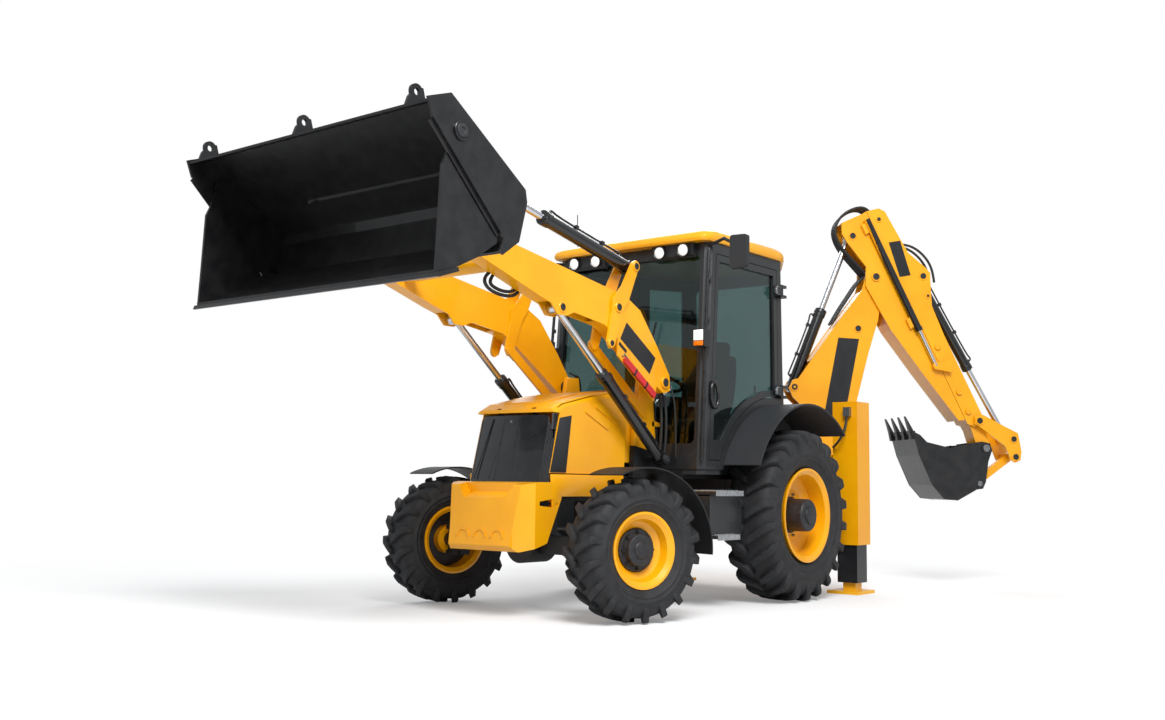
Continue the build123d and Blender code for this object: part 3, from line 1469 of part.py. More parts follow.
with BuildPart() as dipper:
    slab(dipper_outline, swung(), 2 * dipper_half)
    slab(fork_opening, swung(), 2 * (dipper_half - dipper_plate), mode=Mode.SUBTRACT)
    slab(hollow_outline, swung(), 2 * (dipper_half - dipper_plate), mode=Mode.SUBTRACT)
    disc(boom_tip, swung(), boom_pin_r, 2 * dipper_half + 24)
    for q in (-dipper_half + 40, dipper_half - 40):
        disc(dipper_eye, swung(q), 38, 34)
    lane = swung(ram_lane)
    bar(lane.from_local_coords(Vector(*extend_high)), lane.from_local_coords(Vector(*extend_low)), ram_lane_r)
    slab(
        [
            toward(extend_high, extend_low, 20),
            toward(extend_high, extend_low, 120),
            (toward(extend_high, extend_low, 120)[0] - 60, toward(extend_high, extend_low, 120)[1] - 40),
            (toward(extend_high, extend_low, 20)[0] - 60, toward(extend_high, extend_low, 20)[1] - 40),
        ],
        swung((dipper_half + ram_lane) / 2),
        ram_lane - dipper_half,
    )
    slab(
        [
            toward(extend_low, extend_high, 60),
            toward(extend_low, extend_high, 160),
            (toward(extend_low, extend_high, 160)[0] - 60, toward(extend_low, extend_high, 160)[1] - 40),
            (toward(extend_low, extend_high, 60)[0] - 60, toward(extend_low, extend_high, 60)[1] - 40),
        ],
        swung((dipper_half + ram_lane) / 2),
        ram_lane - dipper_half,
    )
    bar(
        lane.from_local_coords(Vector(*toward(extend_low, extend_high, 1150))),
        lane.from_local_coords(Vector(*extend_low)),
        ram_lane_r * 0.6 + pin_gap,
        mode=Mode.SUBTRACT,
    )
save(dipper, "dipper")
with BuildPart() as dipper_barrel:
    ram_barrel(
        dipper_ram_base,
        dipper_eye,
        swung(),
        dipper_barrel_r,
        dipper_rod_r,
        dipper_barrel_length,
        hoe_eye_width,
        hoe_pin_r,
    )
save(dipper_barrel, "dipper_ram_barrel")
with BuildPart() as dipper_rod:
    ram_rod(dipper_ram_base, dipper_eye, swung(), dipper_rod_r, dipper_rod_inner, hoe_eye_width, hoe_pin_r)
save(dipper_rod, "dipper_ram_rod")

# Extending half: a box along the seam with the bucket ram's hump, the lever foot and a slim nose
seam_run = Vector(seam_low[0] - seam_top[0], seam_low[1] - seam_top[1], 0).normalized()
seam_normal = (-seam_run.Y * slide_gap, seam_run.X * slide_gap)
slide_outline = [
    (seam_top[0] + seam_normal[0], seam_top[1] + seam_normal[1]),
    (1012, 3668),
    (1076, 3638),
    (1304, 3238),
    (1484, 3090),
    (1530, 3040),
    (1530, 2940),
    (1542, 2712),
    (1658, 2432),
    (1871, 1986),
    (2028, 1662),
    (2048, 1600),
    (2020, 1545),
    (1975, 1535),
    (seam_low[0] + seam_normal[0] + 20, seam_low[1] + seam_normal[1] - 42),
]
ram_opening = [(1395, 3075), (1440, 3130), (1700, 3130), (1700, 2560), (1590, 2560), (1400, 2930)]
slide_hollow = [(1060, 3540), (1330, 3130), (1370, 2900), (1440, 2700), (1560, 2440), (1760, 2020), (1900, 1740), (1860, 1700)]
nose_outline = [
    (1890, 1690),
    (2020, 1660),
    (2058, 1560),
    (2132, 1345),
    (2112, 1278),
    (2062, 1262),
    (2005, 1290),
    (1940, 1500),
    (1880, 1600),
]
nose_half = 105.0
pad_places = ((1590, 2307), (1680, 2120), (1800, 1870), (1890, 1682))
rod_lug = toward(extend_low, extend_high, -380)
with BuildPart() as dipper_slide:
    slab(slide_outline, swung(), 2 * dipper_half)
    slab(ram_opening, swung(), 2 * (bucket_barrel_r + 12), mode=Mode.SUBTRACT)
    slab(slide_hollow, swung(), 2 * (bucket_barrel_r + 12), mode=Mode.SUBTRACT)
    slab(nose_outline, swung(), 2 * nose_half)
    for place in pad_places:
        disc(place, swung(), 30, 2 * dipper_half + 30)
    disc(bucket_ram_base, swung(), hoe_pin_r, 2 * dipper_half)
    disc(lever_foot, swung(), hoe_pin_r, 2 * 180)
    disc(bucket_pin, swung(), hoe_pin_r + pin_gap, 2 * nose_half + 20, mode=Mode.SUBTRACT)
    rod_lane = swung(ram_lane)
    bar(
        rod_lane.from_local_coords(Vector(*toward(extend_low, extend_high, 1110))),
        rod_lane.from_local_coords(Vector(*rod_lug)),
        ram_lane_r * 0.6,
    )
    disc(rod_lug, rod_lane, 36, 44)
    slab(
        [
            (rod_lug[0] - 10, rod_lug[1] - 34),
            (rod_lug[0] + 16, rod_lug[1] + 34),
            (rod_lug[0] + 150, rod_lug[1] + 60),
            (rod_lug[0] + 150, rod_lug[1] - 60),
        ],
        rod_lane,
        44,
    )
    slab(
        [
            (rod_lug[0] + 80, rod_lug[1] - 40),
            (rod_lug[0] + 80, rod_lug[1] + 40),
            (rod_lug[0] + 150, rod_lug[1] + 60),
            (rod_lug[0] + 150, rod_lug[1] - 60),
        ],
        swung((dipper_half + ram_lane) / 2),
        ram_lane - dipper_half + 10,
    )
save(dipper_slide, "dipper_slide")
with BuildPart() as bucket_barrel:
    ram_barrel(
        bucket_ram_base,
        lever_ram_pin,
        swung(),
        bucket_barrel_r,
        bucket_rod_r,
        bucket_barrel_length,
        hoe_eye_width,
        hoe_pin_r,
    )
save(bucket_barrel, "bucket_ram_barrel")
with BuildPart() as bucket_rod:
    ram_rod(
        bucket_ram_base, lever_ram_pin, swung(), bucket_rod_r, bucket_rod_inner, hoe_eye_width, hoe_pin_r
    )
save(bucket_rod, "bucket_ram_rod")

# Bucket linkage: two lever plates joined by the link's pin, and the link to the bucket
tip_lever_q = 160.0
tip_lever_plate = 20.0
tip_lever_outline = [
    (1945, 1640),
    (2028, 1652),
    (2249, 1540),
    (2380, 1478),
    (2412, 1300),
    (2400, 1215),
    (2345, 1190),
    (2300, 1220),
    (2250, 1350),
    (2000, 1530),
    (1940, 1560),
]
with BuildPart() as bucket_lever:
    for q in (-tip_lever_q, tip_lever_q):
        slab(tip_lever_outline, swung(q), tip_lever_plate, corner=14)
        disc(lever_foot, swung(q), hoe_pin_r + pin_gap, tip_lever_plate + 40, mode=Mode.SUBTRACT)
    for sign in (-1, 1):
        disc(lever_ram_pin, swung(sign * (tip_lever_q - 45)), 40, 90)
    disc(lever_link_pin, swung(), hoe_pin_r, 2 * tip_lever_q + tip_lever_plate + 12)
save(bucket_lever, "bucket_lever")
bucket_link_width = 72.0
bucket_link_thick = 60.0
with BuildPart() as bucket_link:
    link_length = hypot(lever_link_pin[0] - bucket_link_pin[0], lever_link_pin[1] - bucket_link_pin[1])
    link_slope = degrees(atan2(lever_link_pin[1] - bucket_link_pin[1], lever_link_pin[0] - bucket_link_pin[0]))
    link_middle = (
        (lever_link_pin[0] + bucket_link_pin[0]) / 2,
        (lever_link_pin[1] + bucket_link_pin[1]) / 2,
    )
    with BuildSketch(swung()) as link_face:
        with Locations(link_middle):
            SlotCenterToCenter(link_length, bucket_link_width, rotation=link_slope)
        with Locations(lever_link_pin, bucket_link_pin):
            Circle(hoe_pin_r + pin_gap, mode=Mode.SUBTRACT)
    extrude(link_face.sketch, amount=bucket_link_thick / 2, both=True)
save(bucket_link, "bucket_link")

# Digging bucket: rolled shell between two cheeks, ears, lip with teeth and side cutters
hoe_line = [
    (1272, 1470),
    (1332, 1250),
    (1456, 970),
    (1568, 842),
    (1704, 829),
    (1880, 931),
    (1915, 1122),
    (1886, 1360),
]
hoe_cheek = [
    (1265, 1475),
    (1325, 1248),
    (1449, 965),
    (1565, 833),
    (1704, 820),
    (1888, 923),
    (1923, 1120),
    (1893, 1364),
    (1643, 1319),
    (1406, 1373),
    (1340, 1440),
]
ear_outline = [
    (1880, 1370),
    (2030, 1392),
    (2110, 1376),
    (2130, 1310),
    (2090, 1200),
    (2060, 1000),
    (2030, 935),
    (1960, 925),
    (1876, 930),
    (1913, 1122),
]
ear_q = 125.0
ear_plate = 20.0
tooth_width = 52.0
tooth_places = (-262.0, -88.0, 88.0, 262.0)
with BuildPart() as hoe_bucket:
    folded_plate(hoe_line, swung(), hoe_bucket_wall, 2 * hoe_bucket_half)
    for sign in (-1, 1):
        slab(hoe_cheek, swung(sign * (hoe_bucket_half - hoe_bucket_wall / 2)), hoe_bucket_wall)
        slab(ear_outline, swung(sign * ear_q), ear_plate)
        disc(bucket_link_pin, swung(sign * (ear_q - 28)), 38, 50)
    disc(bucket_pin, swung(), hoe_pin_r, 2 * ear_q + ear_plate + 16)
    for q in tooth_places:
        slab([(1285, 1400), (1254, 1396), (1238, 1480), (1201, 1616), (1276, 1486)], swung(q), tooth_width)
    slab([(1256, 1480), (1262, 1450), (1300, 1420), (1290, 1478)], swung(), 2 * hoe_bucket_half)
save(hoe_bucket, "hoe_bucket")
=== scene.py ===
from math import cos, hypot, pi, radians, sin

import bmesh
import bpy
from mathutils import Matrix, Vector


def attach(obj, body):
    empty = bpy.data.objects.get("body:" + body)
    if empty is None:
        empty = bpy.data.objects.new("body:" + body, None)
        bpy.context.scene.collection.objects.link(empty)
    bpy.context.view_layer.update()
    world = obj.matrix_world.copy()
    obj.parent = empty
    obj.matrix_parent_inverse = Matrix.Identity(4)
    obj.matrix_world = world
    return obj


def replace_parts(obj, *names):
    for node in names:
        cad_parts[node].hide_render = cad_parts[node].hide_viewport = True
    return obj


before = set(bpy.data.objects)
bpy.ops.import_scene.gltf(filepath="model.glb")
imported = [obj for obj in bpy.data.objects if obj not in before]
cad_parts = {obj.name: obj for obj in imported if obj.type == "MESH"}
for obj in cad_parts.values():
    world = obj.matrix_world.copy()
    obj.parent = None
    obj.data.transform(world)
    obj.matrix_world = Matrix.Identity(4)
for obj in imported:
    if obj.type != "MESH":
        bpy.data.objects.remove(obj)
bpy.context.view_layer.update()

# The studio: a pale floor and a white surround, a broad soft key lamp from the front left and
# an even fill. The camera stands low at the machine's front left corner, as the photograph does.
# Places are given in millimetres from the ground under the rear axle, X forward, Y to the left.
FRAME_MIDDLE = (631.0, 305.0)


def at(x, y, z):
    """A place on the machine, in metres in the shared frame."""
    return Vector(((x - FRAME_MIDDLE[0]) / 1000, (y - FRAME_MIDDLE[1]) / 1000, z / 1000))


def colour(code):
    """An sRGB hex code as linear RGBA."""
    parts = [int(code[i:i + 2], 16) / 255 for i in (1, 3, 5)]
    return tuple(c / 12.92 if c <= 0.04045 else ((c + 0.055) / 1.055) ** 2.4 for c in parts) + (1.0,)


def add_node(tree, kind, settings=None, **links):
    """A node with its settings; sockets take a value or another node's output."""
    made = tree.nodes.new(kind)
    for name, value in (settings or {}).items():
        setattr(made, name, value)
    for name, value in links.items():
        socket = made.inputs[int(name[1:])] if name[0] == "_" else made.inputs[name.replace("_", " ")]
        if isinstance(value, bpy.types.NodeSocket):
            tree.links.new(value, socket)
        else:
            socket.default_value = value
    return made


scene = bpy.context.scene
scene.view_settings.view_transform = "Standard"

eye = at(9001.2, 5972.1, 949.4)
right = Vector((-0.62785, 0.77823, 0.01276))
up = Vector((0.08559, 0.05274, 0.99493))
back = Vector((0.77362, 0.62576, -0.09972))
SENSOR_MM = 36.0
FOCAL_PX, FRAME_WIDE_PX = 1218.38, 1165.0
lens = bpy.data.cameras.new("camera")
lens.sensor_width = SENSOR_MM
lens.lens = SENSOR_MM * FOCAL_PX / FRAME_WIDE_PX
lens.clip_end = 200.0
camera = bpy.data.objects.new("camera", lens)
camera.matrix_world = Matrix.Translation(eye) @ Matrix((right, up, back)).transposed().to_4x4()
scene.collection.objects.link(camera)
scene.camera = camera

# The surround: pure white where the camera looks straight or through glass at it, and a softer
# cool white as the light it casts, so that the black paint keeps its depth.
world = bpy.data.worlds.new("white_surround")
world.use_nodes = True
scene.world = world
tree = world.node_tree
tree.nodes.clear()
ray = add_node(tree, "ShaderNodeLightPath")
seen = add_node(tree, "ShaderNodeMath", {"operation": "MAXIMUM"},
                _0=ray.outputs["Is Camera Ray"], _1=ray.outputs["Is Transmission Ray"])
fill = add_node(tree, "ShaderNodeBackground", Color=colour("#F4F7FA"), Strength=0.62)
white = add_node(tree, "ShaderNodeBackground", Color=colour("#FFFFFF"), Strength=1.0)
pick = add_node(tree, "ShaderNodeMixShader", _0=seen.outputs[0], _1=fill.outputs[0], _2=white.outputs[0])
add_node(tree, "ShaderNodeOutputWorld", Surface=pick.outputs[0])

# name, place, aim, power in watts, side in metres
LAMPS = (
    ("key_lamp", (7000, 6500, 9500), (500, 0, 1200), 1500.0, 5.0),
    ("rim_lamp", (-6500, -5500, 8500), (0, 0, 1500), 500.0, 6.0),
)
for name, place, aim, power, side in LAMPS:
    lamp = bpy.data.lights.new(name, "AREA")
    lamp.energy = power
    lamp.size = side
    holder = bpy.data.objects.new(name, lamp)
    turned = (at(*place) - at(*aim)).to_track_quat("Z", "Y").to_matrix().to_4x4()
    holder.matrix_world = Matrix.Translation(at(*place)) @ turned
    scene.collection.objects.link(holder)

# The floor: matt white board that takes the soft shadow near the machine and fades into the
# surround from 3.2 to 8.5 metres out.
FLOOR_HALF_M = 60.0
FADE_FROM_M, FADE_TO_M = 3.2, 8.5
bm = bmesh.new()
bmesh.ops.create_grid(bm, x_segments=1, y_segments=1, size=FLOOR_HALF_M)
floor_mesh = bpy.data.meshes.new("floor")
bm.to_mesh(floor_mesh)
bm.free()
floor = bpy.data.objects.new("floor", floor_mesh)
scene.collection.objects.link(floor)
floor_paint = bpy.data.materials.new("matt_white_floor")
floor_paint.use_nodes = True
tree = floor_paint.node_tree
tree.nodes.clear()
ray = add_node(tree, "ShaderNodeLightPath")
place = add_node(tree, "ShaderNodeTexCoord")
reach = add_node(tree, "ShaderNodeVectorMath", {"operation": "LENGTH"}, _0=place.outputs["Object"])
fade = add_node(tree, "ShaderNodeMapRange", {"interpolation_type": "SMOOTHSTEP"},
                _0=reach.outputs["Value"], _1=FADE_FROM_M, _2=FADE_TO_M, _3=0.0, _4=1.0)
matt = add_node(tree, "ShaderNodeBsdfDiffuse", Color=colour("#DEDEDE"))
glow = add_node(tree, "ShaderNodeEmission", Color=colour("#FFFFFF"), Strength=0.2)
both = add_node(tree, "ShaderNodeAddShader", _0=matt.outputs[0], _1=glow.outputs[0])
away = add_node(tree, "ShaderNodeEmission", Color=colour("#FFFFFF"), Strength=1.0)
near = add_node(tree, "ShaderNodeMixShader", _0=fade.outputs[0], _1=both.outputs[0], _2=away.outputs[0])
pick = add_node(tree, "ShaderNodeMixShader",
                _0=ray.outputs["Is Camera Ray"], _1=matt.outputs[0], _2=near.outputs[0])
add_node(tree, "ShaderNodeOutputMaterial", Surface=pick.outputs[0])
floor_mesh.materials.append(floor_paint)


# Chassis: welded steel rails, axle housings and steering knuckles, sprayed satin black, with flat
# closing plates bolted between the rails under the cab. The engine block is painted cast iron.
def surface(name, base, metallic, roughness, coat=0.0):
    """A new material with its principled shader; returns material, tree and shader."""
    made = bpy.data.materials.new(name)
    made.use_nodes = True
    tree = made.node_tree
    tree.nodes.clear()
    shader = add_node(tree, "ShaderNodeBsdfPrincipled", Base_Color=colour(base), Metallic=metallic,
                      Roughness=roughness)
    shader.inputs["Coat Weight"].default_value = coat
    add_node(tree, "ShaderNodeOutputMaterial", Surface=shader.outputs[0])
    return made, tree, shader


def mottle(tree, shader, tones, grain_mm, rough, depth_mm=0.0, detail=4.0):
    """Varies a shader's colour and roughness by noise whose blotches are grain_mm across."""
    place = add_node(tree, "ShaderNodeTexCoord")
    noise = add_node(tree, "ShaderNodeTexNoise", Vector=place.outputs["Object"], Scale=1000.0 / grain_mm,
                     Detail=detail)
    ramp = add_node(tree, "ShaderNodeValToRGB", Fac=noise.outputs[0])
    ramp.color_ramp.elements[0].position = 0.35
    ramp.color_ramp.elements[1].position = 0.65
    ramp.color_ramp.elements[0].color = colour(tones[0])
    ramp.color_ramp.elements[1].color = colour(tones[1])
    tree.links.new(ramp.outputs[0], shader.inputs["Base Color"])
    span = add_node(tree, "ShaderNodeMapRange", _0=noise.outputs[0], _3=rough[0], _4=rough[1])
    tree.links.new(span.outputs[0], shader.inputs["Roughness"])
    if depth_mm:
        bump = add_node(tree, "ShaderNodeBump", Strength=0.6, Distance=depth_mm / 1000,
                        Height=noise.outputs[0])
        tree.links.new(bump.outputs[0], shader.inputs["Normal"])


def dress(material, *nodes):
    """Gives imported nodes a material."""
    for node in nodes:
        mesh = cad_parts[node].data
        mesh.materials.clear()
        mesh.materials.append(material)


def settle(name, bm, material, body):
    """Cleans a form, shades it smooth between its crisp edges and hangs it on a body."""
    bmesh.ops.remove_doubles(bm, verts=bm.verts, dist=0.00005)
    bmesh.ops.recalc_face_normals(bm, faces=bm.faces)
    for face in bm.faces:
        face.smooth = True
    for edge in bm.edges:
        edge.smooth = len(edge.link_faces) == 2 and edge.calc_face_angle(0.0) < radians(38)
    mesh = bpy.data.meshes.new(name)
    bm.to_mesh(mesh)
    bm.free()
    mesh.materials.append(material)
    made = bpy.data.objects.new(name, mesh)
    scene.collection.objects.link(made)
    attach(made, body)
    return made


def prism(bm, ring, push):
    """A plate: a closed ring of places pushed through by a vector."""
    face = bm.faces.new([bm.verts.new(place) for place in ring])
    made = bmesh.ops.extrude_face_region(bm, geom=[face])
    bmesh.ops.translate(bm, vec=push, verts=[v for v in made["geom"] if isinstance(v, bmesh.types.BMVert)])


# Sprayed over blasted steel: deep black with a soft, uneven sheen; the unevenness is 160 mm across.
black, tree, shader = surface("satin_black_chassis_paint", "#16171A", 0.0, 0.5)
mottle(tree, shader, ("#0D0E10", "#17181A"), 160.0, (0.42, 0.62), depth_mm=0.3)
dress(black, "chassis_frame", "front_axle", "rear_axle", "knuckle_left", "knuckle_right")

# Sand-cast iron under thin paint: dull grey-black and pitted, with a 25 mm unevenness drawn coarser
# than the sand's grain so that it shows.
casting, tree, shader = surface("painted_cast_iron", "#26282B", 0.1, 0.65)
mottle(tree, shader, ("#212326", "#2E3033"), 25.0, (0.55, 0.75), depth_mm=1.2)
dress(casting, "engine_block")

UNDERFLOOR = ((-560, 986), (1116, 986), (1116, 1056), (-560, 1056))
bm = bmesh.new()
prism(bm, [at(x, -600, z) for x, z in UNDERFLOOR], Vector((0, 1.2, 0)))
settle("underfloor", bm, black, "chassis")


# Tyres: cross-ply farm pattern, a round-shouldered casing with ribs on its walls and a staggered
# row of curved lugs on each shoulder; moulded rubber, the lugs' running faces rubbed paler.
def axes(place, along, across):
    """A local frame at a place: Z along one direction, X as near as can be to another."""
    z = along.normalized()
    y = z.cross(across).normalized()
    return Matrix.Translation(place) @ Matrix((y.cross(z), y, z)).transposed().to_4x4()


def lathe(bm, seat, profile, steps=72, sweep=2 * pi):
    """Spins a profile of (radius, height) in millimetres round a seat's Z."""
    ring = [bm.verts.new(seat @ Vector((r / 1000, 0, h / 1000))) for r, h in profile]
    line = [bm.edges.new(pair) for pair in zip(ring, ring[1:])]
    turn = seat.to_3x3() @ Vector((0, 0, 1))
    bmesh.ops.spin(bm, geom=ring + line, cent=seat.translation, axis=turn, angle=sweep, steps=steps,
                   use_merge=sweep > 6)


def loft(bm, rings, closed=False):
    """Bridges rings of vertices, each to the next; caps both ends, or joins the last to the first."""
    hoops = [[bm.edges.new(pair) for pair in zip(ring, ring[1:] + ring[:1])] for ring in rings]
    for one, two in zip(hoops, hoops[1:] + (hoops[:1] if closed else [])):
        bmesh.ops.bridge_loops(bm, edges=one + two)
    for ring in [] if closed else (rings[0], rings[-1]):
        bm.faces.new(ring)


def ease(bm, radius_mm, segments, over=0.5):
    """Rounds each edge that turns by more than an angle in radians."""
    rims = [e for e in bm.edges if e.calc_face_angle(0.0) > over]
    bmesh.ops.bevel(bm, geom=rims, offset=radius_mm / 1000, offset_type="OFFSET", segments=segments,
                    profile=0.5, affect="EDGES", material=-1)


# Moulded rubber as the mould leaves it: near black and matt, blotched with dust 40 mm across.
tyre_rubber, tree, shader = surface("moulded_tyre_rubber", "#1B1B1C", 0.0, 0.75)
mottle(tree, shader, ("#111112", "#1C1C1D"), 40.0, (0.68, 0.85), depth_mm=0.6)
dress(tyre_rubber, "front_wheel_left_tyre", "front_wheel_right_tyre", "rear_wheel_left_tyre",
      "rear_wheel_right_tyre")
# The same rubber where the ground has rubbed it: a little paler and drier, in 60 mm patches.
rubber, tree, shader = surface("lug_rubber_with_pale_faces", "#1B1B1C", 0.0, 0.75)
mottle(tree, shader, ("#18181A", "#26272A"), 60.0, (0.6, 0.82), depth_mm=0.8, detail=8.0)

STEERED = radians(-16)
WHEEL_OUT = 148
ahead = Vector((cos(STEERED), sin(STEERED), 0))
front_out = Vector((-sin(STEERED), cos(STEERED), 0))
pin_left, pin_right = Vector((2170, 800, 493)), Vector((2170, -800, 493))
rear_left, rear_right = Vector((0, 896, 702)), Vector((0, -896, 702))
straight, leftward, upward = Vector((1, 0, 0)), Vector((0, 1, 0)), Vector((0, 0, 1))
# radius, half width, rim flange radius, lug height, lug width, lugs in a row
FRONT_TYRE = (493, 165, 262, 30, 46, 18)
REAR_TYRE = (702, 215, 384, 38, 56, 22)
# name: body, centre, ahead, outward, then the tyre's sizes
WHEELS = {
    "front_wheel_left": ("wheel_front_left", pin_left + front_out * WHEEL_OUT, ahead, front_out,
                         *FRONT_TYRE),
    "front_wheel_right": ("wheel_front_right", pin_right - front_out * WHEEL_OUT, ahead, -front_out,
                          *FRONT_TYRE),
    "rear_wheel_left": ("wheel_rear_left", rear_left, straight, leftward, *REAR_TYRE),
    "rear_wheel_right": ("wheel_rear_right", rear_right, straight, -leftward, *REAR_TYRE),
}
# across (share of half width), drop of the casing below the tread in lug heights
CROWN = ((0.0, 1.06), (0.3, 1.1), (0.55, 1.22), (0.75, 1.5), (0.87, 2.05), (0.93, 2.8), (0.965, 3.7))
# height up the wall and distance across, as shares of the wall and of the half width: two ribs
SIDEWALL = (
    (0.40, 0.985), (0.385, 1.0), (0.36, 1.0), (0.345, 0.98), (0.27, 0.95), (0.255, 0.965), (0.235, 0.965),
    (0.22, 0.93), (0.1, 0.86), (0.03, 0.8), (-0.02, 0.74),
)
# across and drop of a lug's face, across and drop of its root, lead ahead and width in lug widths
LUG = (
    (0.05, 0.02, 0.05, 1.2, 1.24, 0.74),
    (0.09, 0.0, 0.09, 1.2, 1.14, 0.92),
    (0.3, 0.03, 0.3, 1.25, 0.60, 1.06),
    (0.55, 0.1, 0.55, 1.4, -0.05, 1.14),
    (0.8, 0.24, 0.78, 1.8, -0.62, 1.16),
    (0.94, 0.6, 0.84, 2.3, -0.86, 1.14),
    (1.0, 1.5, 0.9, 3.0, -0.95, 1.1),
    (1.0, 2.7, 0.94, 3.8, -1.0, 1.02),
    (0.985, 3.6, 0.94, 4.4, -1.02, 0.9),
)
FACE_SPREAD, ROOT_SPREAD = 0.5, 0.62
FIRST_LUG = pi / 2 + 0.09
for node, (body, centre, forward, outward, radius, half, flange, lug_high, lug_wide, lugs) in WHEELS.items():
    turned = Matrix((forward, upward, forward.cross(upward))).transposed().to_4x4()
    hub = Matrix.Translation(at(*centre)) @ turned
    bm = bmesh.new()
    wall = radius - flange
    side = [(radius - lug_high * drop, half * share) for share, drop in CROWN]
    side += [(flange + wall * a, half * b) for a, b in SIDEWALL]
    lathe(bm, hub, [(r, -h) for r, h in reversed(side)] + side[1:], steps=96)
    for row, stagger in ((1, 0.0), (-1, pi / lugs)):
        lug = bmesh.new()
        loops = []
        for face_in, face_drop, root_in, root_drop, lead, wide in LUG:
            loop = []
            for across, drop, spread in (
                (root_in, root_drop, -ROOT_SPREAD), (face_in, face_drop, -FACE_SPREAD),
                (face_in, face_drop, FACE_SPREAD), (root_in, root_drop, ROOT_SPREAD),
            ):
                reach = radius - drop * lug_high
                turn = FIRST_LUG + stagger - (lead + spread * wide) * lug_wide / radius
                corner = Vector((reach * cos(turn), reach * sin(turn), row * across * half))
                loop.append(lug.verts.new(corner / 1000))
            loops.append(loop)
        loft(lug, loops)
        bmesh.ops.recalc_face_normals(lug, faces=lug.faces)
        ease(lug, 5, 2, over=radians(50))
        bmesh.ops.spin(lug, geom=lug.verts[:] + lug.edges[:] + lug.faces[:], cent=(0, 0, 0), axis=(0, 0, 1),
                       angle=2 * pi * (lugs - 1) / lugs, steps=lugs - 1, use_duplicate=True)
        bmesh.ops.transform(lug, matrix=hub, verts=lug.verts)
        part = bpy.data.meshes.new("row")
        lug.to_mesh(part)
        lug.free()
        bm.from_mesh(part)
        bpy.data.meshes.remove(part)
    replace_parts(settle(node + "_tread", bm, rubber, body), node + "_tyre")

# Wheel hubs: front, a wide dark dish over the planetary hub with a ring of studs; rear, a dark
# drum standing out of the yellow disc, its studs round its foot. Cast iron, painted and bolted on.
HANDS = (("left", 1), ("right", -1))
# Cast iron under satin paint: dark, with a fine pitting drawn 30 mm across so that it shows.
hub_paint, tree, shader = surface("charcoal_hub_paint", "#232427", 0.1, 0.5)
mottle(tree, shader, ("#1E1F22", "#2C2D30"), 30.0, (0.42, 0.6), depth_mm=0.5)
# Zinc plating on forged steel: a dull silver that breaks up in 8 mm patches.
zinc, tree, shader = surface("zinc_plated_fasteners", "#8E9092", 0.9, 0.42)
mottle(tree, shader, ("#7F8183", "#9C9EA0"), 8.0, (0.36, 0.5))
FRONT_HUB = (
    (150, 31), (150, 44), (140, 52), (116, 52), (110, 60), (108, 96), (99, 102), (62, 102), (58, 110),
    (50, 114), (0, 114),
)
REAR_HUB = (
    (150, 21), (150, 34), (134, 40), (132, 196), (122, 208), (74, 211), (70, 224), (62, 228), (0, 228),
)
# body prefix, hub profile, stud circle, stud seat, studs, stud radius
HUBS = (("front", FRONT_HUB, 129, 51, 8, 11), ("rear", REAR_HUB, 176, 20, 10, 13))
NUT_HIGH, TIP_HIGH = 14, 12
for kind, profile, circle, seat_high, studs, stud_r in HUBS:
    for hand, _ in HANDS:
        node = f"{kind}_wheel_{hand}"
        body, centre, forward, outward = WHEELS[node][:4]
        hub = axes(at(*centre), outward, forward)
        bm = bmesh.new()
        lathe(bm, hub, profile)
        settle(node + "_hub", bm, hub_paint, body)
        bm = bmesh.new()
        for k in range(studs):
            nut = Vector((circle / 1000, 0, (seat_high + NUT_HIGH / 2) / 1000))
            spot = hub @ Matrix.Rotation(2 * pi * k / studs, 4, "Z") @ Matrix.Translation(nut)
            bmesh.ops.create_cone(bm, cap_ends=True, segments=6, radius1=stud_r / 1000,
                                  radius2=stud_r / 1000, depth=NUT_HIGH / 1000, matrix=spot)
            tip = spot @ Matrix.Translation((0, 0, 0.011))
            bmesh.ops.create_cone(bm, cap_ends=True, segments=16, radius1=stud_r * 0.0005,
                                  radius2=stud_r * 0.00045, depth=TIP_HIGH / 1000, matrix=tip)
        settle(node + "_studs", bm, zinc if kind == "rear" else hub_paint, body)

# Rim shade discs: a dark disc that fills a front rim behind its dish, in the hub's charcoal paint. It is
# painted shade: it stands in for the shadow inside the rim, and turns with the wheel.
RIM_SHADE_DISC = ((214, -10), (214, -2), (204, 4), (120, 8), (112, 2))
for hand, _ in HANDS:
    body, centre, forward, outward = WHEELS[f"front_wheel_{hand}"][:4]
    bm = bmesh.new()
    lathe(bm, axes(at(*centre), -outward, forward), RIM_SHADE_DISC, steps=64)
    # Painted shade: a dark lid set where the inside of the rim lies in shadow.
    settle(f"rim_shade_disc_{hand}", bm, hub_paint, body)

# Yellow steelwork: bonnet, counterweight, rims, loader arms, backhoe frame and backhoe are welded
# or pressed steel, sprayed in one yellow. The bonnet's flanks are folded skirts clipped on below.
# Two-pack enamel: a deep glossy yellow with a faint orange peel, dulled by dust in 420 mm patches.
yellow, tree, shader = surface("sprayed_yellow_enamel", "#F0A602", 0.0, 0.3, coat=0.25)
mottle(tree, shader, ("#EEA000", "#F5AC00"), 420.0, (0.24, 0.40), depth_mm=0.4, detail=5.0)
dress(yellow, "bonnet", "counterweight", "loader_arms", "tipping_levers", "levelling_links")
dress(yellow, "backhoe_frame", "carriage", "slewing_post", "boom", "dipper", "dipper_slide")
dress(yellow, "bucket_lever", "bucket_link", "cab_roof", "front_wheel_left_rim", "front_wheel_right_rim")
dress(yellow, "rear_wheel_left_rim", "rear_wheel_right_rim")
SKIRT = ((2440, 1002), (1600, 1002), (1600, 900), (1700, 845), (2330, 845), (2420, 760))
bm = bmesh.new()
for _, sign in HANDS:
    prism(bm, [at(x, sign * 401, z) for x, z in SKIRT], Vector((0, -sign * 0.022, 0)))
ease(bm, 6, 2)
settle("bonnet_skirts", bm, yellow, "chassis")


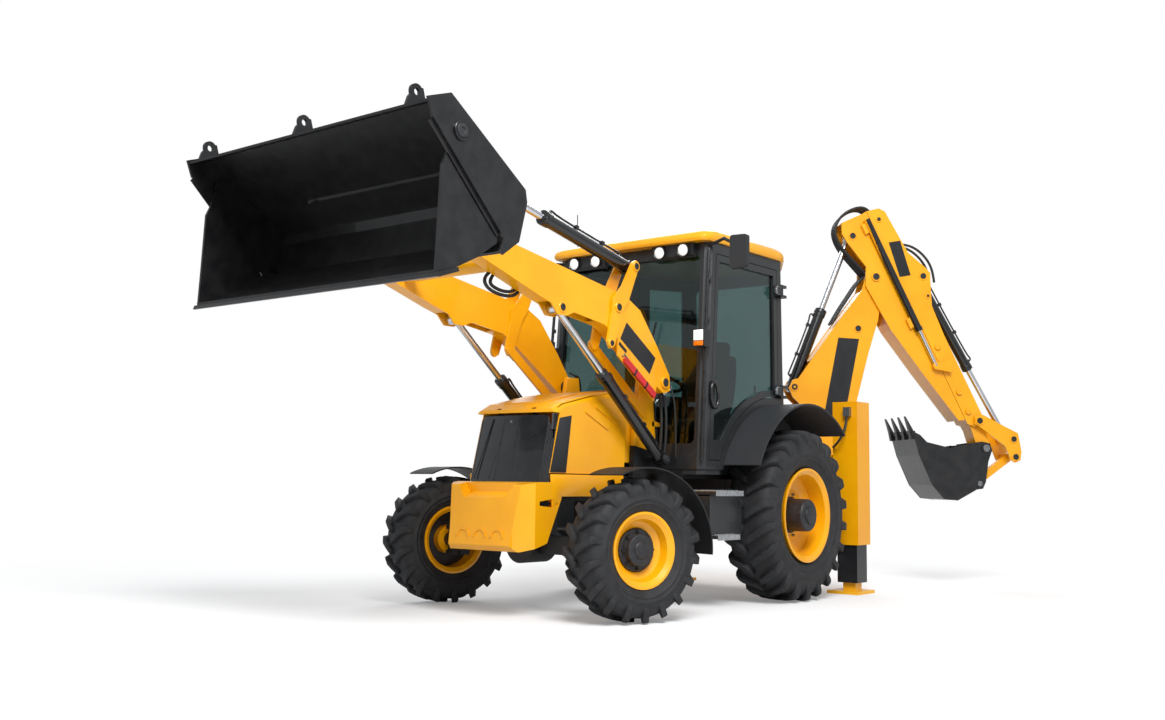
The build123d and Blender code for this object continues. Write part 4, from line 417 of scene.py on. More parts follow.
# Grille: one glossy charcoal moulding with two raised beads beside its middle panel, plain side
# cheeks framed by a step, and the bonnet's round latch above, all clipped to the bonnet's nose.
def run(name, body, material, radius, places):
    """A round bar, pipe or clamped hose through a few places: one open spline."""
    curve = bpy.data.curves.new(name, "CURVE")
    curve.dimensions = "3D"
    spline = curve.splines.new("NURBS")
    spline.points.add(len(places) - 1)
    for point, place in zip(spline.points, places):
        point.co = (*place, 1.0)
    spline.order_u = 3
    spline.use_endpoint_u = True
    curve.bevel_depth = radius / 1000
    curve.bevel_resolution = 3
    curve.use_fill_caps = True
    curve.materials.append(material)
    made = bpy.data.objects.new(name, curve)
    scene.collection.objects.link(made)
    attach(made, body)


# Moulded and lacquered plastic: clear, nearly sharp reflections on dark grey, waving over 150 mm.
grille_gloss, tree, shader = surface("gloss_charcoal_moulding", "#17181A", 0.0, 0.28, coat=0.4)
mottle(tree, shader, ("#141517", "#1D1E20"), 150.0, (0.22, 0.34))
dress(grille_gloss, "grille")
# Moulded plastic with a leather grain: soft matt dark grey; the grain is drawn 6 mm across to show.
charcoal, tree, shader = surface("moulded_charcoal_plastic", "#303236", 0.0, 0.6)
mottle(tree, shader, ("#1E2023", "#292B2E"), 6.0, (0.5, 0.7), depth_mm=0.25)
# Extruded trim with a polished skin: small crisp highlights on black, uneven over 60 mm.
rim_black, tree, shader = surface("gloss_black_trim", "#101113", 0.0, 0.25, coat=0.3)
mottle(tree, shader, ("#0E0F11", "#1A1B1D"), 60.0, (0.2, 0.34))
CHEEK = ((2436, 1016), (2337, 1404), (2205, 1428), (2262, 1016))
CHEEK_STEP = ((2422, 1032), (2330, 1388), (2224, 1408), (2276, 1032))
bm = bmesh.new()
for _, sign in HANDS:
    prism(bm, [at(x, sign * 378, z) for x, z in CHEEK], Vector((0, sign * 0.006, 0)))
    prism(bm, [at(x, sign * 384, z) for x, z in CHEEK_STEP], Vector((0, sign * 0.004, 0)))
ease(bm, 2, 2)
settle("grille_cheeks", bm, charcoal, "bonnet")
bm = bmesh.new()
bmesh.ops.create_cone(bm, cap_ends=True, segments=24, radius1=0.012, radius2=0.010, depth=0.008,
                      matrix=axes(at(2428, 0, 1380), Vector((1, 0, 0.25)), Vector((0, 1, 0))))
settle("grille_latch", bm, zinc, "chassis")
# Y at a bead's foot and at its top; the nose curves back a little to each side.
BEADS = ((-285, -190), (-135, -40))
for k, (low_y, high_y) in enumerate(BEADS):
    run(f"grille_bead_{k + 1}", "chassis", rim_black, 5, [
        at(2527 - abs(low_y) * 0.04, low_y, 965),
        at(2476 - abs(low_y + high_y) * 0.02, (low_y + high_y) / 2, 1180),
        at(2424 - abs(high_y) * 0.03, high_y, 1404)])

# Tower cladding and cowl: folded yellow sheet bolted over the loader towers with a small bracket
# ahead of each, and a cowl from the bonnet's rear edge down between them.
TOWER_SHEET = ((1158, 1180), (1452, 1232), (1402, 1642), (1377, 1800), (1233, 1800), (1213, 1642))
BRACKET = ((1232, 1440), (1122, 1425), (1102, 1408), (1122, 1390), (1232, 1384))
COWL = ((1518, 1100), (1518, 1626), (1498, 1640), (1440, 1622), (1400, 1540), (1400, 1100))
bm = bmesh.new()
for ring, thick in ((TOWER_SHEET, 0.048), (BRACKET, 0.012)):
    for _, sign in HANDS:
        prism(bm, [at(x, sign * 391, z) for x, z in ring], Vector((0, -sign * thick, 0)))
prism(bm, [at(x, -338, z) for x, z in COWL], Vector((0, 0.676, 0)))
ease(bm, 8, 3, over=0.3)
settle("tower_cladding", bm, yellow, "chassis")

# Cab shell: welded tube frame and doors, glazed all round with bonded tinted glass; fenders, floor
# housing, mirrors and consoles are plastic mouldings bolted to it.
# Sprayed charcoal: an even dark grey with a low satin sheen that drifts over 300 mm.
shell, tree, shader = surface("sprayed_charcoal_cab_paint", "#2C2E31", 0.0, 0.38, coat=0.2)
mottle(tree, shader, ("#1B1D1F", "#242628"), 300.0, (0.32, 0.46))
dress(shell, "cab_frame", "door_left", "door_right", "side_tanks")
dress(charcoal, "rear_fenders", "mirrors", "controls", "cab_base")
# Float glass tinted green: what is behind shows cooler and darker, and steep views turn to sky. The
# tint drifts over about 800 mm.
glazing = bpy.data.materials.new("green_tinted_cab_glass")
glazing.use_nodes = True
tree = glazing.node_tree
tree.nodes.clear()
place = add_node(tree, "ShaderNodeTexCoord")
cloud = add_node(tree, "ShaderNodeTexNoise", Vector=place.outputs["Object"], Scale=1.2)
tint = add_node(tree, "ShaderNodeValToRGB", Fac=cloud.outputs[0])
tint.color_ramp.elements[0].color = colour("#A3B8B7")
tint.color_ramp.elements[1].color = colour("#B6C9C7")
clear = add_node(tree, "ShaderNodeBsdfTransparent", Color=tint.outputs[0])
gloss = add_node(tree, "ShaderNodeBsdfGlossy", Color=colour("#F2F6F6"), Roughness=0.03)
edge = add_node(tree, "ShaderNodeLayerWeight", Blend=0.5)
steep = add_node(tree, "ShaderNodeMath", {"operation": "POWER"}, _0=edge.outputs["Facing"], _1=3.0)
sheen = add_node(tree, "ShaderNodeMath", {"operation": "MULTIPLY_ADD"}, _0=steep.outputs[0], _1=0.5, _2=0.05)
both = add_node(tree, "ShaderNodeMixShader", _0=sheen.outputs[0], _1=clear.outputs[0], _2=gloss.outputs[0])
add_node(tree, "ShaderNodeOutputMaterial", Surface=both.outputs[0])
dress(glazing, "cab_glass", "door_glass_left", "door_glass_right")

# Cab roof: one thick moulded lid in yellow, round at its edge and domed on top, its rear corners
# turned down over the quarter lights, bolted to the frame's corners.
PLAN = (
    (1082, -735), (1098, 0), (1082, 735), (1036, 800), (-130, 800), (-640, 480), (-640, -480), (-130, -800),
    (1036, -800),
)
# height above the cab's top, drawn in all round
DOME = ((0, 4), (14, -4), (52, -6), (78, 6), (98, 34), (110, 90), (117, 180), (118, 330))
CAB_TOP, DOME_X, HALF_LONG, HALF_WIDE, CORNER = 2860.4, 220, 860, 800, 120
EDGE_HIGH = 14
bm = bmesh.new()
corners = [Vector((x, y)) for x, y in PLAN]
outline = []
for before, here, after in zip(corners[-1:] + corners[:-1], corners, corners[1:] + corners[:1]):
    start = here + (before - here).normalized() * min(CORNER, (before - here).length * 0.45)
    stop = here + (after - here).normalized() * min(CORNER, (after - here).length * 0.45)
    for t in (0.0, 0.25, 0.5, 0.75, 1.0):
        outline.append(start * (1 - t) ** 2 + here * 2 * t * (1 - t) + stop * t * t)
rings = []
for rise, draw in DOME:
    ring = []
    for spot in outline:
        x = DOME_X + (spot.x - DOME_X) * (1 - draw / HALF_LONG)
        y = spot.y * (1 - draw / HALF_WIDE)
        droop = max(0.0, -(x + 330)) * 0.09 + max(0.0, x - 900) * 0.12
        ring.append(bm.verts.new(at(x, y, CAB_TOP + rise - droop * (1 if rise > EDGE_HIGH else 0))))
    rings.append(ring)
loft(bm, rings)
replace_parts(settle("domed_roof", bm, yellow, "chassis"), "cab_roof")

# Work lamps: a pair in each dark pod, with domed clear lenses in black bezels; and the marker lamps
# on the pillars, clear above and amber below. Moulded plastics, screwed to the cab's front.
# Moulded plastic, lightly textured: dark with a soft sheen; the texture is drawn 30 mm across.
lamp_case, tree, shader = surface("lamp_housing_plastic", "#1E1F21", 0.0, 0.4)
mottle(tree, shader, ("#1A1B1D", "#242527"), 30.0, (0.35, 0.5))
dress(lamp_case, "lamps")
# Clear acrylic over a reflector: white and glassy, rippled by 9 mm flutes; its faint white glow is a painted
# reflection of the reflector.
lens_clear_painted_glow, tree, shader = surface("clear_lamp_lens_painted_glow", "#FDFDFB", 0.0, 0.08, coat=0.5)
mottle(tree, shader, ("#E9EAE6", "#FFFFFF"), 9.0, (0.05, 0.16), depth_mm=0.8)
# Painted light: the lens glows faintly, standing in for the bright reflector behind it.
shader.inputs["Emission Color"].default_value = colour("#FFFFFF")
shader.inputs["Emission Strength"].default_value = 0.25
# Amber acrylic: a saturated orange with sharp highlights and the same flutes.
lens_amber, tree, shader = surface("amber_indicator_lens", "#E8720C", 0.0, 0.12, coat=0.5)
mottle(tree, shader, ("#D9640A", "#F28A1E"), 9.0, (0.08, 0.2), depth_mm=0.6)
WORK_LAMPS_Y = (330, 560)
BEZEL = ((54, -14), (57, -2), (56, 5), (51, 8), (47, 4), (46, -2))
LENS = ((46, 0), (45, 3), (36, 8), (20, 12), (0, 13))
MARKER_Y = (742, 828)
for hand, sign in HANDS:
    bezel = bmesh.new()
    glass = bmesh.new()
    for y in WORK_LAMPS_Y:
        seat = axes(at(1056, sign * y, 2802), Vector((1, 0, -0.12)), Vector((0, 1, 0)))
        lathe(bezel, seat, BEZEL, steps=48)
        lathe(glass, seat, LENS, steps=48)
    settle(f"lamp_bezels_{hand}", bezel, rim_black, "chassis")
    settle(f"lamp_lenses_{hand}", glass, lens_clear_painted_glow, "chassis")
    for label, low, high, material in (
        ("marker_lens", 2052, 2134, lens_clear_painted_glow), ("amber_lens", 2010, 2048, lens_amber),
    ):
        y0, y1 = MARKER_Y
        bm = bmesh.new()
        ring = [at(1165, sign * y, z) for y, z in ((y0, low), (y1, low), (y1, high), (y0, high))]
        prism(bm, ring, Vector((0.01, 0, 0)))
        ease(bm, 4, 3)
        settle(f"{label}_{hand}", bm, material, "chassis")

# Cab trim: black tubes clipped up the front pillars, door handle rings, cast hinge covers, the
# mirrors' glasses, and the wiper and radio mast on the front.
# Silvered glass: a clean cool mirror with hardly any blur, uneven only over 300 mm.
mirror_glass, tree, shader = surface("silvered_mirror_glass", "#C9D2D6", 1.0, 0.04)
mottle(tree, shader, ("#C2CBD0", "#D2DADD"), 300.0, (0.02, 0.07))
PILLAR_TUBE = (
    (1128, 790, 1130), (1132, 794, 1180), (1090, 790, 1800), (1052, 783, 2300), (1018, 778, 2700),
    (1004, 776, 2800),
)
PILLAR_LEAN = 0.075
HANDLE_LONG_M, HANDLE_HIGH_M, HANDLE_BAR_M = 0.098, 0.05, 0.014
HINGE_COVER = ((-38, -30), (38, -44), (44, 20), (14, 46), (-30, 40))
MIRROR = ((1066, 2600), (1186, 2612), (1186, 2832), (1066, 2836))
for hand, sign in HANDS:
    run(f"pillar_tube_{hand}", "chassis", rim_black, 13, [at(x, sign * y, z) for x, y, z in PILLAR_TUBE])
    bm = bmesh.new()
    for z in (1300, 1620, 2240, 2560):
        x = 1124 - (z - 1180) * PILLAR_LEAN
        clip = axes(at(x - 4, sign * 785, z), Vector((-PILLAR_LEAN, 0, 1)), Vector((1, 0, 0)))
        bmesh.ops.create_cone(bm, cap_ends=True, segments=24, radius1=0.017, radius2=0.017, depth=0.03,
                              matrix=clip)
    settle(f"pillar_clips_{hand}", bm, charcoal, "chassis")
    bm = bmesh.new()
    grip = axes(at(968, sign * 803, 1640), Vector((0, sign, 0)), Vector((0.1, 0, 1)))
    lift = grip.to_3x3() @ Vector((0, 0, 1))
    loops = []
    for k in range(40):
        turn = 2 * pi * k / 40
        centre = grip @ Vector((HANDLE_LONG_M * cos(turn), HANDLE_HIGH_M * sin(turn), 0.004))
        out = (grip.to_3x3() @ Vector((cos(turn) * 0.6, sin(turn), 0))).normalized()
        bar = [out * cos(2 * pi * j / 12) + lift * sin(2 * pi * j / 12) for j in range(12)]
        loops.append([bm.verts.new(centre + way * HANDLE_BAR_M) for way in bar])
    loft(bm, loops, closed=True)
    settle(f"door_handle_{hand}", bm, rim_black, f"door_{hand}")
    bm = bmesh.new()
    for z in (1730, 2590):
        block = axes(at(-8, sign * 800, z), Vector((0, sign, 0)), Vector((0, 0, 1)))
        ring = [block @ Vector((u / 1000, sign * v / 1000, 0)) for u, v in HINGE_COVER]
        prism(bm, ring, block.to_3x3() @ Vector((0, 0, 0.026)))
    ease(bm, 7, 3)
    settle(f"hinge_covers_{hand}", bm, zinc, f"door_{hand}")
    bm = bmesh.new()
    prism(bm, [at(1095, sign * y, z) for y, z in MIRROR], Vector((-0.003, 0, 0)))
    settle(f"mirror_glass_{hand}", bm, mirror_glass, "chassis")
run("wiper_arm", "chassis", rim_black, 7, [
    at(1116, -40, 1260), at(1116, -20, 1330), at(1090, 160, 1700), at(1076, 230, 1880)])
run("wiper_blade", "chassis", rim_black, 9, [at(1104, 120, 1460), at(1080, 215, 1860), at(1052, 300, 2240)])
run("radio_mast", "chassis", rim_black, 4, [
    at(1010, -560, 2960), at(1010, -565, 3100), at(1006, -570, 3240)])

# Operator's seat: cloth over foam in two crowned cushions and a head pad, with a piped edge sewn
# round each, on a moulded pedestal that hides the suspension and bolts to the floor.
# Woven polyester: very dry dark grey with a nap that scatters light; the weave is drawn 4 mm across.
cloth, tree, shader = surface("woven_seat_cloth", "#2A2B2E", 0.0, 0.9)
mottle(tree, shader, ("#232427", "#343538"), 4.0, (0.85, 0.95), depth_mm=0.5)
dress(cloth, "seat")
# Vinyl piping: a thin paler line with a dull sheen, its grain drawn 5 mm across.
cloth_piping, tree, shader = surface("seat_piping", "#3A3C40", 0.0, 0.7)
mottle(tree, shader, ("#35373B", "#45474B"), 5.0, (0.65, 0.8))
# centre, half sizes, lean in radians, height of the crown
CUSHIONS = (
    ((55, 0, 1446), (250, 235, 56), 0.06, 18),
    ((-232, 0, 1800), (62, 220, 300), -0.22, 20),
    ((-305, 0, 2140), (45, 130, 80), -0.22, 12),
)
CORNER_BALL, SOFTNESS = 1.28, 0.55
cushions = bmesh.new()
for centre, half, lean, crown in CUSHIONS:
    pad = bmesh.new()
    bmesh.ops.create_cube(pad, size=2.0)
    bmesh.ops.subdivide_edges(pad, edges=pad.edges, cuts=14, use_grid_fill=True)
    thin = half.index(min(half))
    for vert in pad.verts:
        ball = vert.co.normalized() * CORNER_BALL
        soft = vert.co.lerp(Vector([max(-1, min(1, c)) for c in ball]), SOFTNESS)
        span = Vector((half[0] * soft.x, half[1] * soft.y, half[2] * soft.z)) / 1000
        swell = crown / 1000 * (1 - vert.co[(thin + 1) % 3] ** 2) * (1 - vert.co[(thin + 2) % 3] ** 2)
        span[thin] += swell * (1 if vert.co[thin] > 0 else -0.3 if vert.co[thin] < 0 else 0)
        vert.co = span
    seat = Matrix.Translation(at(*centre)) @ Matrix.Rotation(lean, 4, "Y")
    bmesh.ops.transform(pad, matrix=seat, verts=pad.verts)
    part = bpy.data.meshes.new("pad")
    pad.to_mesh(part)
    pad.free()
    cushions.from_mesh(part)
    bpy.data.meshes.remove(part)
seat_pads = settle("seat_cushions", cushions, cloth, "chassis")
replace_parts(seat_pads, "seat")
PEDESTAL = ((-120, 1250), (180, 1250), (150, 1392), (-100, 1392))
bm = bmesh.new()
prism(bm, [at(x, -150, z) for x, z in PEDESTAL], Vector((0, 0.3, 0)))
settle("seat_pedestal", bm, charcoal, "chassis")
SEAT_SEAM = (
    (-175, -225), (290, -225), (302, -120), (302, 120), (290, 225), (-175, 225), (-195, 120), (-195, -120),
    (-175, -225),
)
BACK_SEAM = (
    (-205, 1530), (-215, 1560), (-212, 1800), (-160, 2060), (-60, 2090), (60, 2090), (160, 2060),
    (212, 1800), (215, 1560), (205, 1530),
)
run("seat_cushion_piping", "chassis", cloth_piping, 5, [
    at(x, y, 1466 - (x - 55) * 0.06) for x, y in SEAT_SEAM])
run("seat_back_piping", "chassis", cloth_piping, 5, [
    at(-166 - (z - 1800) * 0.22, y, z) for y, z in BACK_SEAM])

# Cab steps: pressed aluminium treads with raised studs, folded down at the front edge and riveted
# on the tanks' tops and on the low step.
# Rolled and pressed aluminium: pale grey metal, half dull, with scuffs 30 mm across.
tread, tree, shader = surface("pressed_aluminium_tread", "#B9BBBD", 1.0, 0.4)
mottle(tree, shader, ("#A9ABAE", "#C6C8CA"), 30.0, (0.32, 0.5), depth_mm=0.4)
STEP_IN, STEP_OUT, SHEET, LIP = 716, 988, 6, 34
STUDS_LONG, STUDS_WIDE = 9, 5
for hand, sign in HANDS:
    bm = bmesh.new()
    for x0, x1, z in ((842, 1233, 892), (892, 1203, 560)):
        top = ((x0, STEP_IN), (x1, STEP_IN), (x1, STEP_OUT), (x0, STEP_OUT))
        fold = ((x0, z + SHEET), (x1, z + SHEET), (x1, z - LIP), (x0, z - LIP))
        prism(bm, [at(x, sign * y, z) for x, y in top], Vector((0, 0, SHEET / 1000)))
        prism(bm, [at(x, sign * STEP_OUT, h) for x, h in fold], Vector((0, sign * 0.004, 0)))
        for i in range(STUDS_LONG):
            for j in range(STUDS_WIDE):
                x = x0 + 30 + i * (x1 - x0 - 60) / (STUDS_LONG - 1)
                stud = Matrix.Translation(at(x, sign * (750 + j * 50), z + 8))
                bmesh.ops.create_cone(bm, cap_ends=True, segments=12, radius1=0.009, radius2=0.005,
                                      depth=0.005, matrix=stud)
    settle(f"step_treads_{hand}", bm, tread, "chassis")

# Shovel: welded digging steel in two halves, the clam hinged in front on two turned pins. Flat
# rubbing strips inside the shovel's cheeks guide the clam's cheeks.
# Black enamel on thick plate, scuffed by earth: bare glints and dull streaks about 90 mm long.
digging, tree, shader = surface("scuffed_black_digging_steel", "#1D1E20", 0.25, 0.4, coat=0.3)
mottle(tree, shader, ("#151517", "#222223"), 90.0, (0.30, 0.46), depth_mm=0.5, detail=8.0)
dress(digging, "shovel", "shovel_lugs", "clam", "hoe_bucket")
# Turned steel: bright with a fine lathe haze, drawn 12 mm across so that it shows.
steel, tree, shader = surface("turned_bright_steel", "#A9ABAE", 1.0, 0.35)
mottle(tree, shader, ("#9C9EA1", "#B4B6B9"), 12.0, (0.28, 0.42))
dress(steel, "shovel_pins")
GUIDE = ((3830, 2397), (4400, 2957), (4421, 2936), (3851, 2376))
bm = bmesh.new()
for _, sign in HANDS:
    prism(bm, [at(x, sign * 1148.6, z) for x, z in GUIDE], Vector((0, -sign * 0.005, 0)))
settle("clam_guides", bm, digging, "shovel")

# Safety strut: a folded red channel stowed on the left arm by two rubber bands and a bright T-pin;
# dropped over the ram's rod it holds the arms up.
# Sprayed red enamel: a strong warm red with a wet gloss, dulled in 200 mm patches.
red, tree, shader = surface("sprayed_red_enamel", "#C9151B", 0.0, 0.3, coat=0.3)
mottle(tree, shader, ("#BD1218", "#D01A20"), 200.0, (0.25, 0.4))
dress(red, "safety_strut")
STRUT_LOW, STRUT_HIGH = (1450, 1612), (1830, 1856)
BAND = ((-9, -26), (9, -26), (9, 26), (-9, 26))
strut_u, strut_v = STRUT_HIGH[0] - STRUT_LOW[0], STRUT_HIGH[1] - STRUT_LOW[1]
strut_long = hypot(strut_u, strut_v)
strut_u, strut_v = strut_u / strut_long, strut_v / strut_long
bm = bmesh.new()
for share in (0.3, 0.66):
    mid_u = STRUT_LOW[0] + strut_u * strut_long * share
    mid_v = STRUT_LOW[1] + strut_v * strut_long * share
    ring = [(mid_u + strut_u * a - strut_v * b, mid_v + strut_v * a + strut_u * b) for a, b in BAND]
    prism(bm, [at(x, 561, z) for x, z in ring], Vector((0, 0.0248, 0)))
settle("strut_bands", bm, rubber, "arms")
run("strut_pin", "arms", zinc, 6, [at(1846, 548, 1880), at(1846, 570, 1880), at(1846, 596, 1880)])
run("strut_pin_handle", "arms", zinc, 5, [at(1824, 596, 1866), at(1846, 597, 1880), at(1868, 596, 1894)])

# Stabiliser legs: square tubes in black paint that slide in the sleeves, each with a yellow foot
# welded to its end.
# One sprayed coat in two colours: satin black above and enamel yellow below FOOT_TOP_M, both with a
# soft sheen that changes over 180 mm.
FOOT_TOP_M = 0.1
leg_paint, tree, shader = surface("black_leg_and_yellow_foot_paint", "#17181A", 0.0, 0.4, coat=0.2)
mottle(tree, shader, ("#131416", "#1F2023"), 180.0, (0.34, 0.5), depth_mm=0.3)
place = add_node(tree, "ShaderNodeTexCoord")
height = add_node(tree, "ShaderNodeSeparateXYZ", _0=place.outputs["Object"])
foot = add_node(tree, "ShaderNodeMath", {"operation": "LESS_THAN"}, _0=height.outputs["Z"], _1=FOOT_TOP_M)
under = shader.inputs["Base Color"].links[0].from_socket
paint = add_node(tree, "ShaderNodeMix", {"data_type": "RGBA"}, Factor=foot.outputs[0])
paint.inputs[7].default_value = colour("#F3B20C")
tree.links.new(under, paint.inputs[6])
tree.links.new(paint.outputs[2], shader.inputs["Base Color"])
dress(leg_paint, "stabiliser_left", "stabiliser_right")

# Pins: each pivot shows a boss turned from bar and welded to its plate, with the pin's dished end
# in it. The bosses are painted with the plate, the pins are left in their dark phosphate.
SWUNG = cos(radians(45.0))


def hoe(s, z, q):
    """A place in the backhoe's plane: s out from the slewing post, z up, q towards the left."""
    return at(-1360 + (q - s) * SWUNG, (q + s) * SWUNG, z)


# body, plane, along, height, distance of the plate's face from the plane, pin radius
PINS = (
    ("chassis", "loader", 1305, 1723, 572, 32), ("levers", "loader", 1927, 2235, 588, 26),
    ("levers", "loader", 1718, 2569, 588, 25), ("levers", "loader", 2010, 1960, 588, 20),
    ("arms", "loader", 2542, 2164, 562, 25), ("lift_barrels", "loader", 1269, 1135, 563, 25),
    ("shovel_pins", "loader", 3500, 2500, 587, 30), ("shovel", "loader", 3500, 2950, 580, 26),
    ("shovel", "loader", 4185, 2930, 1174, 42),
    ("slewing_post", "hoe", 400, 880, 162, 32), ("slewing_post", "hoe", 120, 1320, 160, 28),
    ("boom", "hoe", 165, 1890, 112, 28), ("boom", "hoe", 803, 2474, 111, 28),
    ("dipper", "hoe", 977, 2985, 148, 32), ("dipper", "hoe", 747, 3383, 141, 28),
    ("dipper_slide", "hoe", 1456, 3006, 141, 28), ("dipper_slide", "hoe", 1013, 3557, 141, 18),
    ("dipper_slide", "hoe", 1991, 1593, 176, 28), ("dipper_slide", "hoe", 1502, 2811, 141, 12),
    ("hoe_bucket", "hoe", 2069, 1328, 139, 34), ("hoe_bucket", "hoe", 1996, 985, 136, 26),
    ("bucket_lever", "hoe", 2351, 1247, 172, 28), ("bucket_lever", "hoe", 2335, 1420, 171, 26),
)
BOSS_PAINT = {"shovel": digging, "hoe_bucket": digging, "lift_barrels": black}
for body in dict.fromkeys(row[0] for row in PINS):
    bosses = bmesh.new()
    ends = bmesh.new()
    for _, plane, along, high, face, r in (row for row in PINS if row[0] == body):
        for _, sign in HANDS:
            if plane == "loader":
                seat = axes(at(along, sign * face, high), Vector((0, sign, 0)), Vector((1, 0, 0)))
            else:
                seat = axes(hoe(along, high, sign * face), Vector((sign, sign, 0)), Vector((0, 0, 1)))
            lathe(bosses, seat, ((r + 15, -14), (r + 15, 3), (r + 12, 6), (r + 2, 6), (r + 1, -4)), steps=48)
            lathe(ends, seat, ((r, -6), (r, 9), (r - 3, 12), (r * 0.5, 12), (r * 0.42, 7), (0, 7)), steps=48)
    settle(f"pin_bosses_{body}", bosses, BOSS_PAINT.get(body, yellow), body)
    settle(f"pin_ends_{body}", ends, zinc if body == "hoe_bucket" else casting, body)

# Wear pads: round steel plugs screwed into the dipper's sides, which take up the slide's play and
# are painted over with it.
WEAR_PADS = ((1590, 2307), (1680, 2120), (1800, 1870), (1890, 1682))
WEAR_PAD = ((27, -2), (27, 4), (24, 7), (13, 7), (12, 2), (0, 2))
bm = bmesh.new()
for s, z in WEAR_PADS:
    for _, sign in HANDS:
        seat = axes(hoe(s, z, sign * 155), Vector((sign, sign, 0)), Vector((0, 0, 1)))
        lathe(bm, seat, WEAR_PAD, steps=36)
settle("slide_wear_pads", bm, yellow, "dipper_slide")

# Side panels: thin dark vinyl strips on the arms, boom and dipper, left plain. They are cut from
# film and rubbed down onto the finished paint.
# Cast vinyl film: flat black with a soft even sheen, wavy over 120 mm from the paint beneath.
vinyl, tree, shader = surface("black_vinyl_strip", "#1A1B1D", 0.0, 0.32)
mottle(tree, shader, ("#18191B", "#202124"), 120.0, (0.28, 0.38))
ARM_PANEL = ((1796, 2138), (1424, 1902), (1500, 1774), (1872, 2010))
ARM_STRIP = ((1880, 1986), (1893, 1964), (1802, 1904), (1789, 1927))
BOOM_PANEL = ((604, 2380), (812, 2372), (660, 1600), (452, 1600))
DIPPER_PANEL = ((1110, 3330), (1228, 3352), (1330, 3010), (1218, 2990))
bm = bmesh.new()
for _, sign in HANDS:
    for ring in (ARM_PANEL, ARM_STRIP):
        prism(bm, [at(x, sign * 562.2, z) for x, z in ring], Vector((0, sign * 0.0012, 0)))
settle("arm_panels", bm, vinyl, "arms")
for label, ring, face, body in (
    ("boom_panels", BOOM_PANEL, 110.2, "boom"), ("dipper_panels", DIPPER_PANEL, 140.2, "dipper_slide"),
):
    bm = bmesh.new()
    for _, sign in HANDS:
        prism(bm, [hoe(s, z, sign * face) for s, z in ring], Vector((sign, sign, 0)) * 0.0008)
    settle(label, bm, vinyl, body)

# Hydraulic rams: each barrel is drawn tube with a screwed gland at its mouth and a steel pipe
# clipped along it from the base port to the rod end port; the rod is ground and chromed.
# Enamel on smooth tube: the glossiest black here, with long sharp highlights, uneven over 200 mm.
ram_black, tree, shader = surface("gloss_black_ram_enamel", "#0E0F11", 0.0, 0.22, coat=0.5)
mottle(tree, shader, ("#0B0C0E", "#131416"), 200.0, (0.16, 0.28))
dress(ram_black, "lift_ram_barrels", "shovel_ram_barrels", "boom_ram_barrel", "dipper_ram_barrel",
      "bucket_ram_barrel")
# Hard chrome, ground and polished: a bright mirror along the rod, smeared by oil in 200 mm patches.
chrome, tree, shader = surface("hard_chromed_rod", "#DDE0E4", 1.0, 0.12)
mottle(tree, shader, ("#D6D9DE", "#E4E6E9"), 200.0, (0.09, 0.18))
dress(chrome, "lift_ram_rods", "shovel_ram_rods", "boom_ram_rod", "dipper_ram_rod", "bucket_ram_rod")
# label, body, plane, base pin, rod pin, barrel length and radius, rod radius, lanes; the pipe lies
# on the barrel's upper side
RAMS = (
    ("lift", "lift_barrels", "loader", (1269, 1135), (2542, 2164), 970, 42, 25, (501, -501)),
    ("shovel", "shovel_barrels", "loader", (1718, 2569), (3500, 2950), 1010, 48, 27, (501, -501)),
    ("boom", "boom_barrel", "hoe", (120, 1320), (803, 2474), 1080, 60, 35, (0,)),
    ("dipper", "dipper_barrel", "hoe", (165, 1890), (747, 3383), 829, 52, 30, (0,)),
    ("bucket", "bucket_barrel", "hoe", (1456, 3006), (2335, 1420), 1030, 46, 28, (0,)),
)
PORT = ((17, -8), (17, 8), (13, 10), (11, 16), (0, 16))
BASE_PORT, ROD_PORT_BACK = 110, 74
for label, body, plane, base, eye_pin, length, barrel_r, rod_r, lanes in RAMS:
    put = (lambda u, v, w: at(u, w, v)) if plane == "loader" else hoe
    run_u, run_v = eye_pin[0] - base[0], eye_pin[1] - base[1]
    span = hypot(run_u, run_v)
    run_u, run_v = run_u / span, run_v / span
    gland = ((barrel_r + 5, -46), (barrel_r + 7, -42), (barrel_r + 7, -4), (barrel_r + 3, 2), (rod_r + 9, 3),
             (rod_r + 7, 10), (rod_r + 1, 11))
    glands = bmesh.new()
    for k, lane in enumerate(lanes):
        def spot(along, off):
            """A place along the ram from its base pin, and off to the pipe's side."""
            return put(base[0] + run_u * along - run_v * off, base[1] + run_v * along + run_u * off, lane)
        to_eye, to_side = spot(100, 0) - spot(0, 0), spot(0, 100) - spot(0, 0)
        lathe(glands, axes(spot(length, 0), to_eye, to_side), gland, steps=48)
        for along in (BASE_PORT, length - ROD_PORT_BACK):
            lathe(glands, axes(spot(along, barrel_r), to_side, to_eye), PORT, steps=24)
        for along in (330, 640):
            clip = axes(spot(along, barrel_r + 20), to_eye, to_side)
            bmesh.ops.create_cube(glands, size=0.03, matrix=clip)
        run(f"{label}_ram_pipe_{k + 1}", body, rim_black, 8, [spot(along, barrel_r + off) for along, off in (
            (BASE_PORT, 8), (108, 24), (128, 26), (190, 24), (length * 0.5, 20), (length - 150, 22),
            (length - 92, 34), (length - 72, 30), (length - ROD_PORT_BACK, 8))])
    settle(f"{label}_ram_glands", glands, rim_black, body)

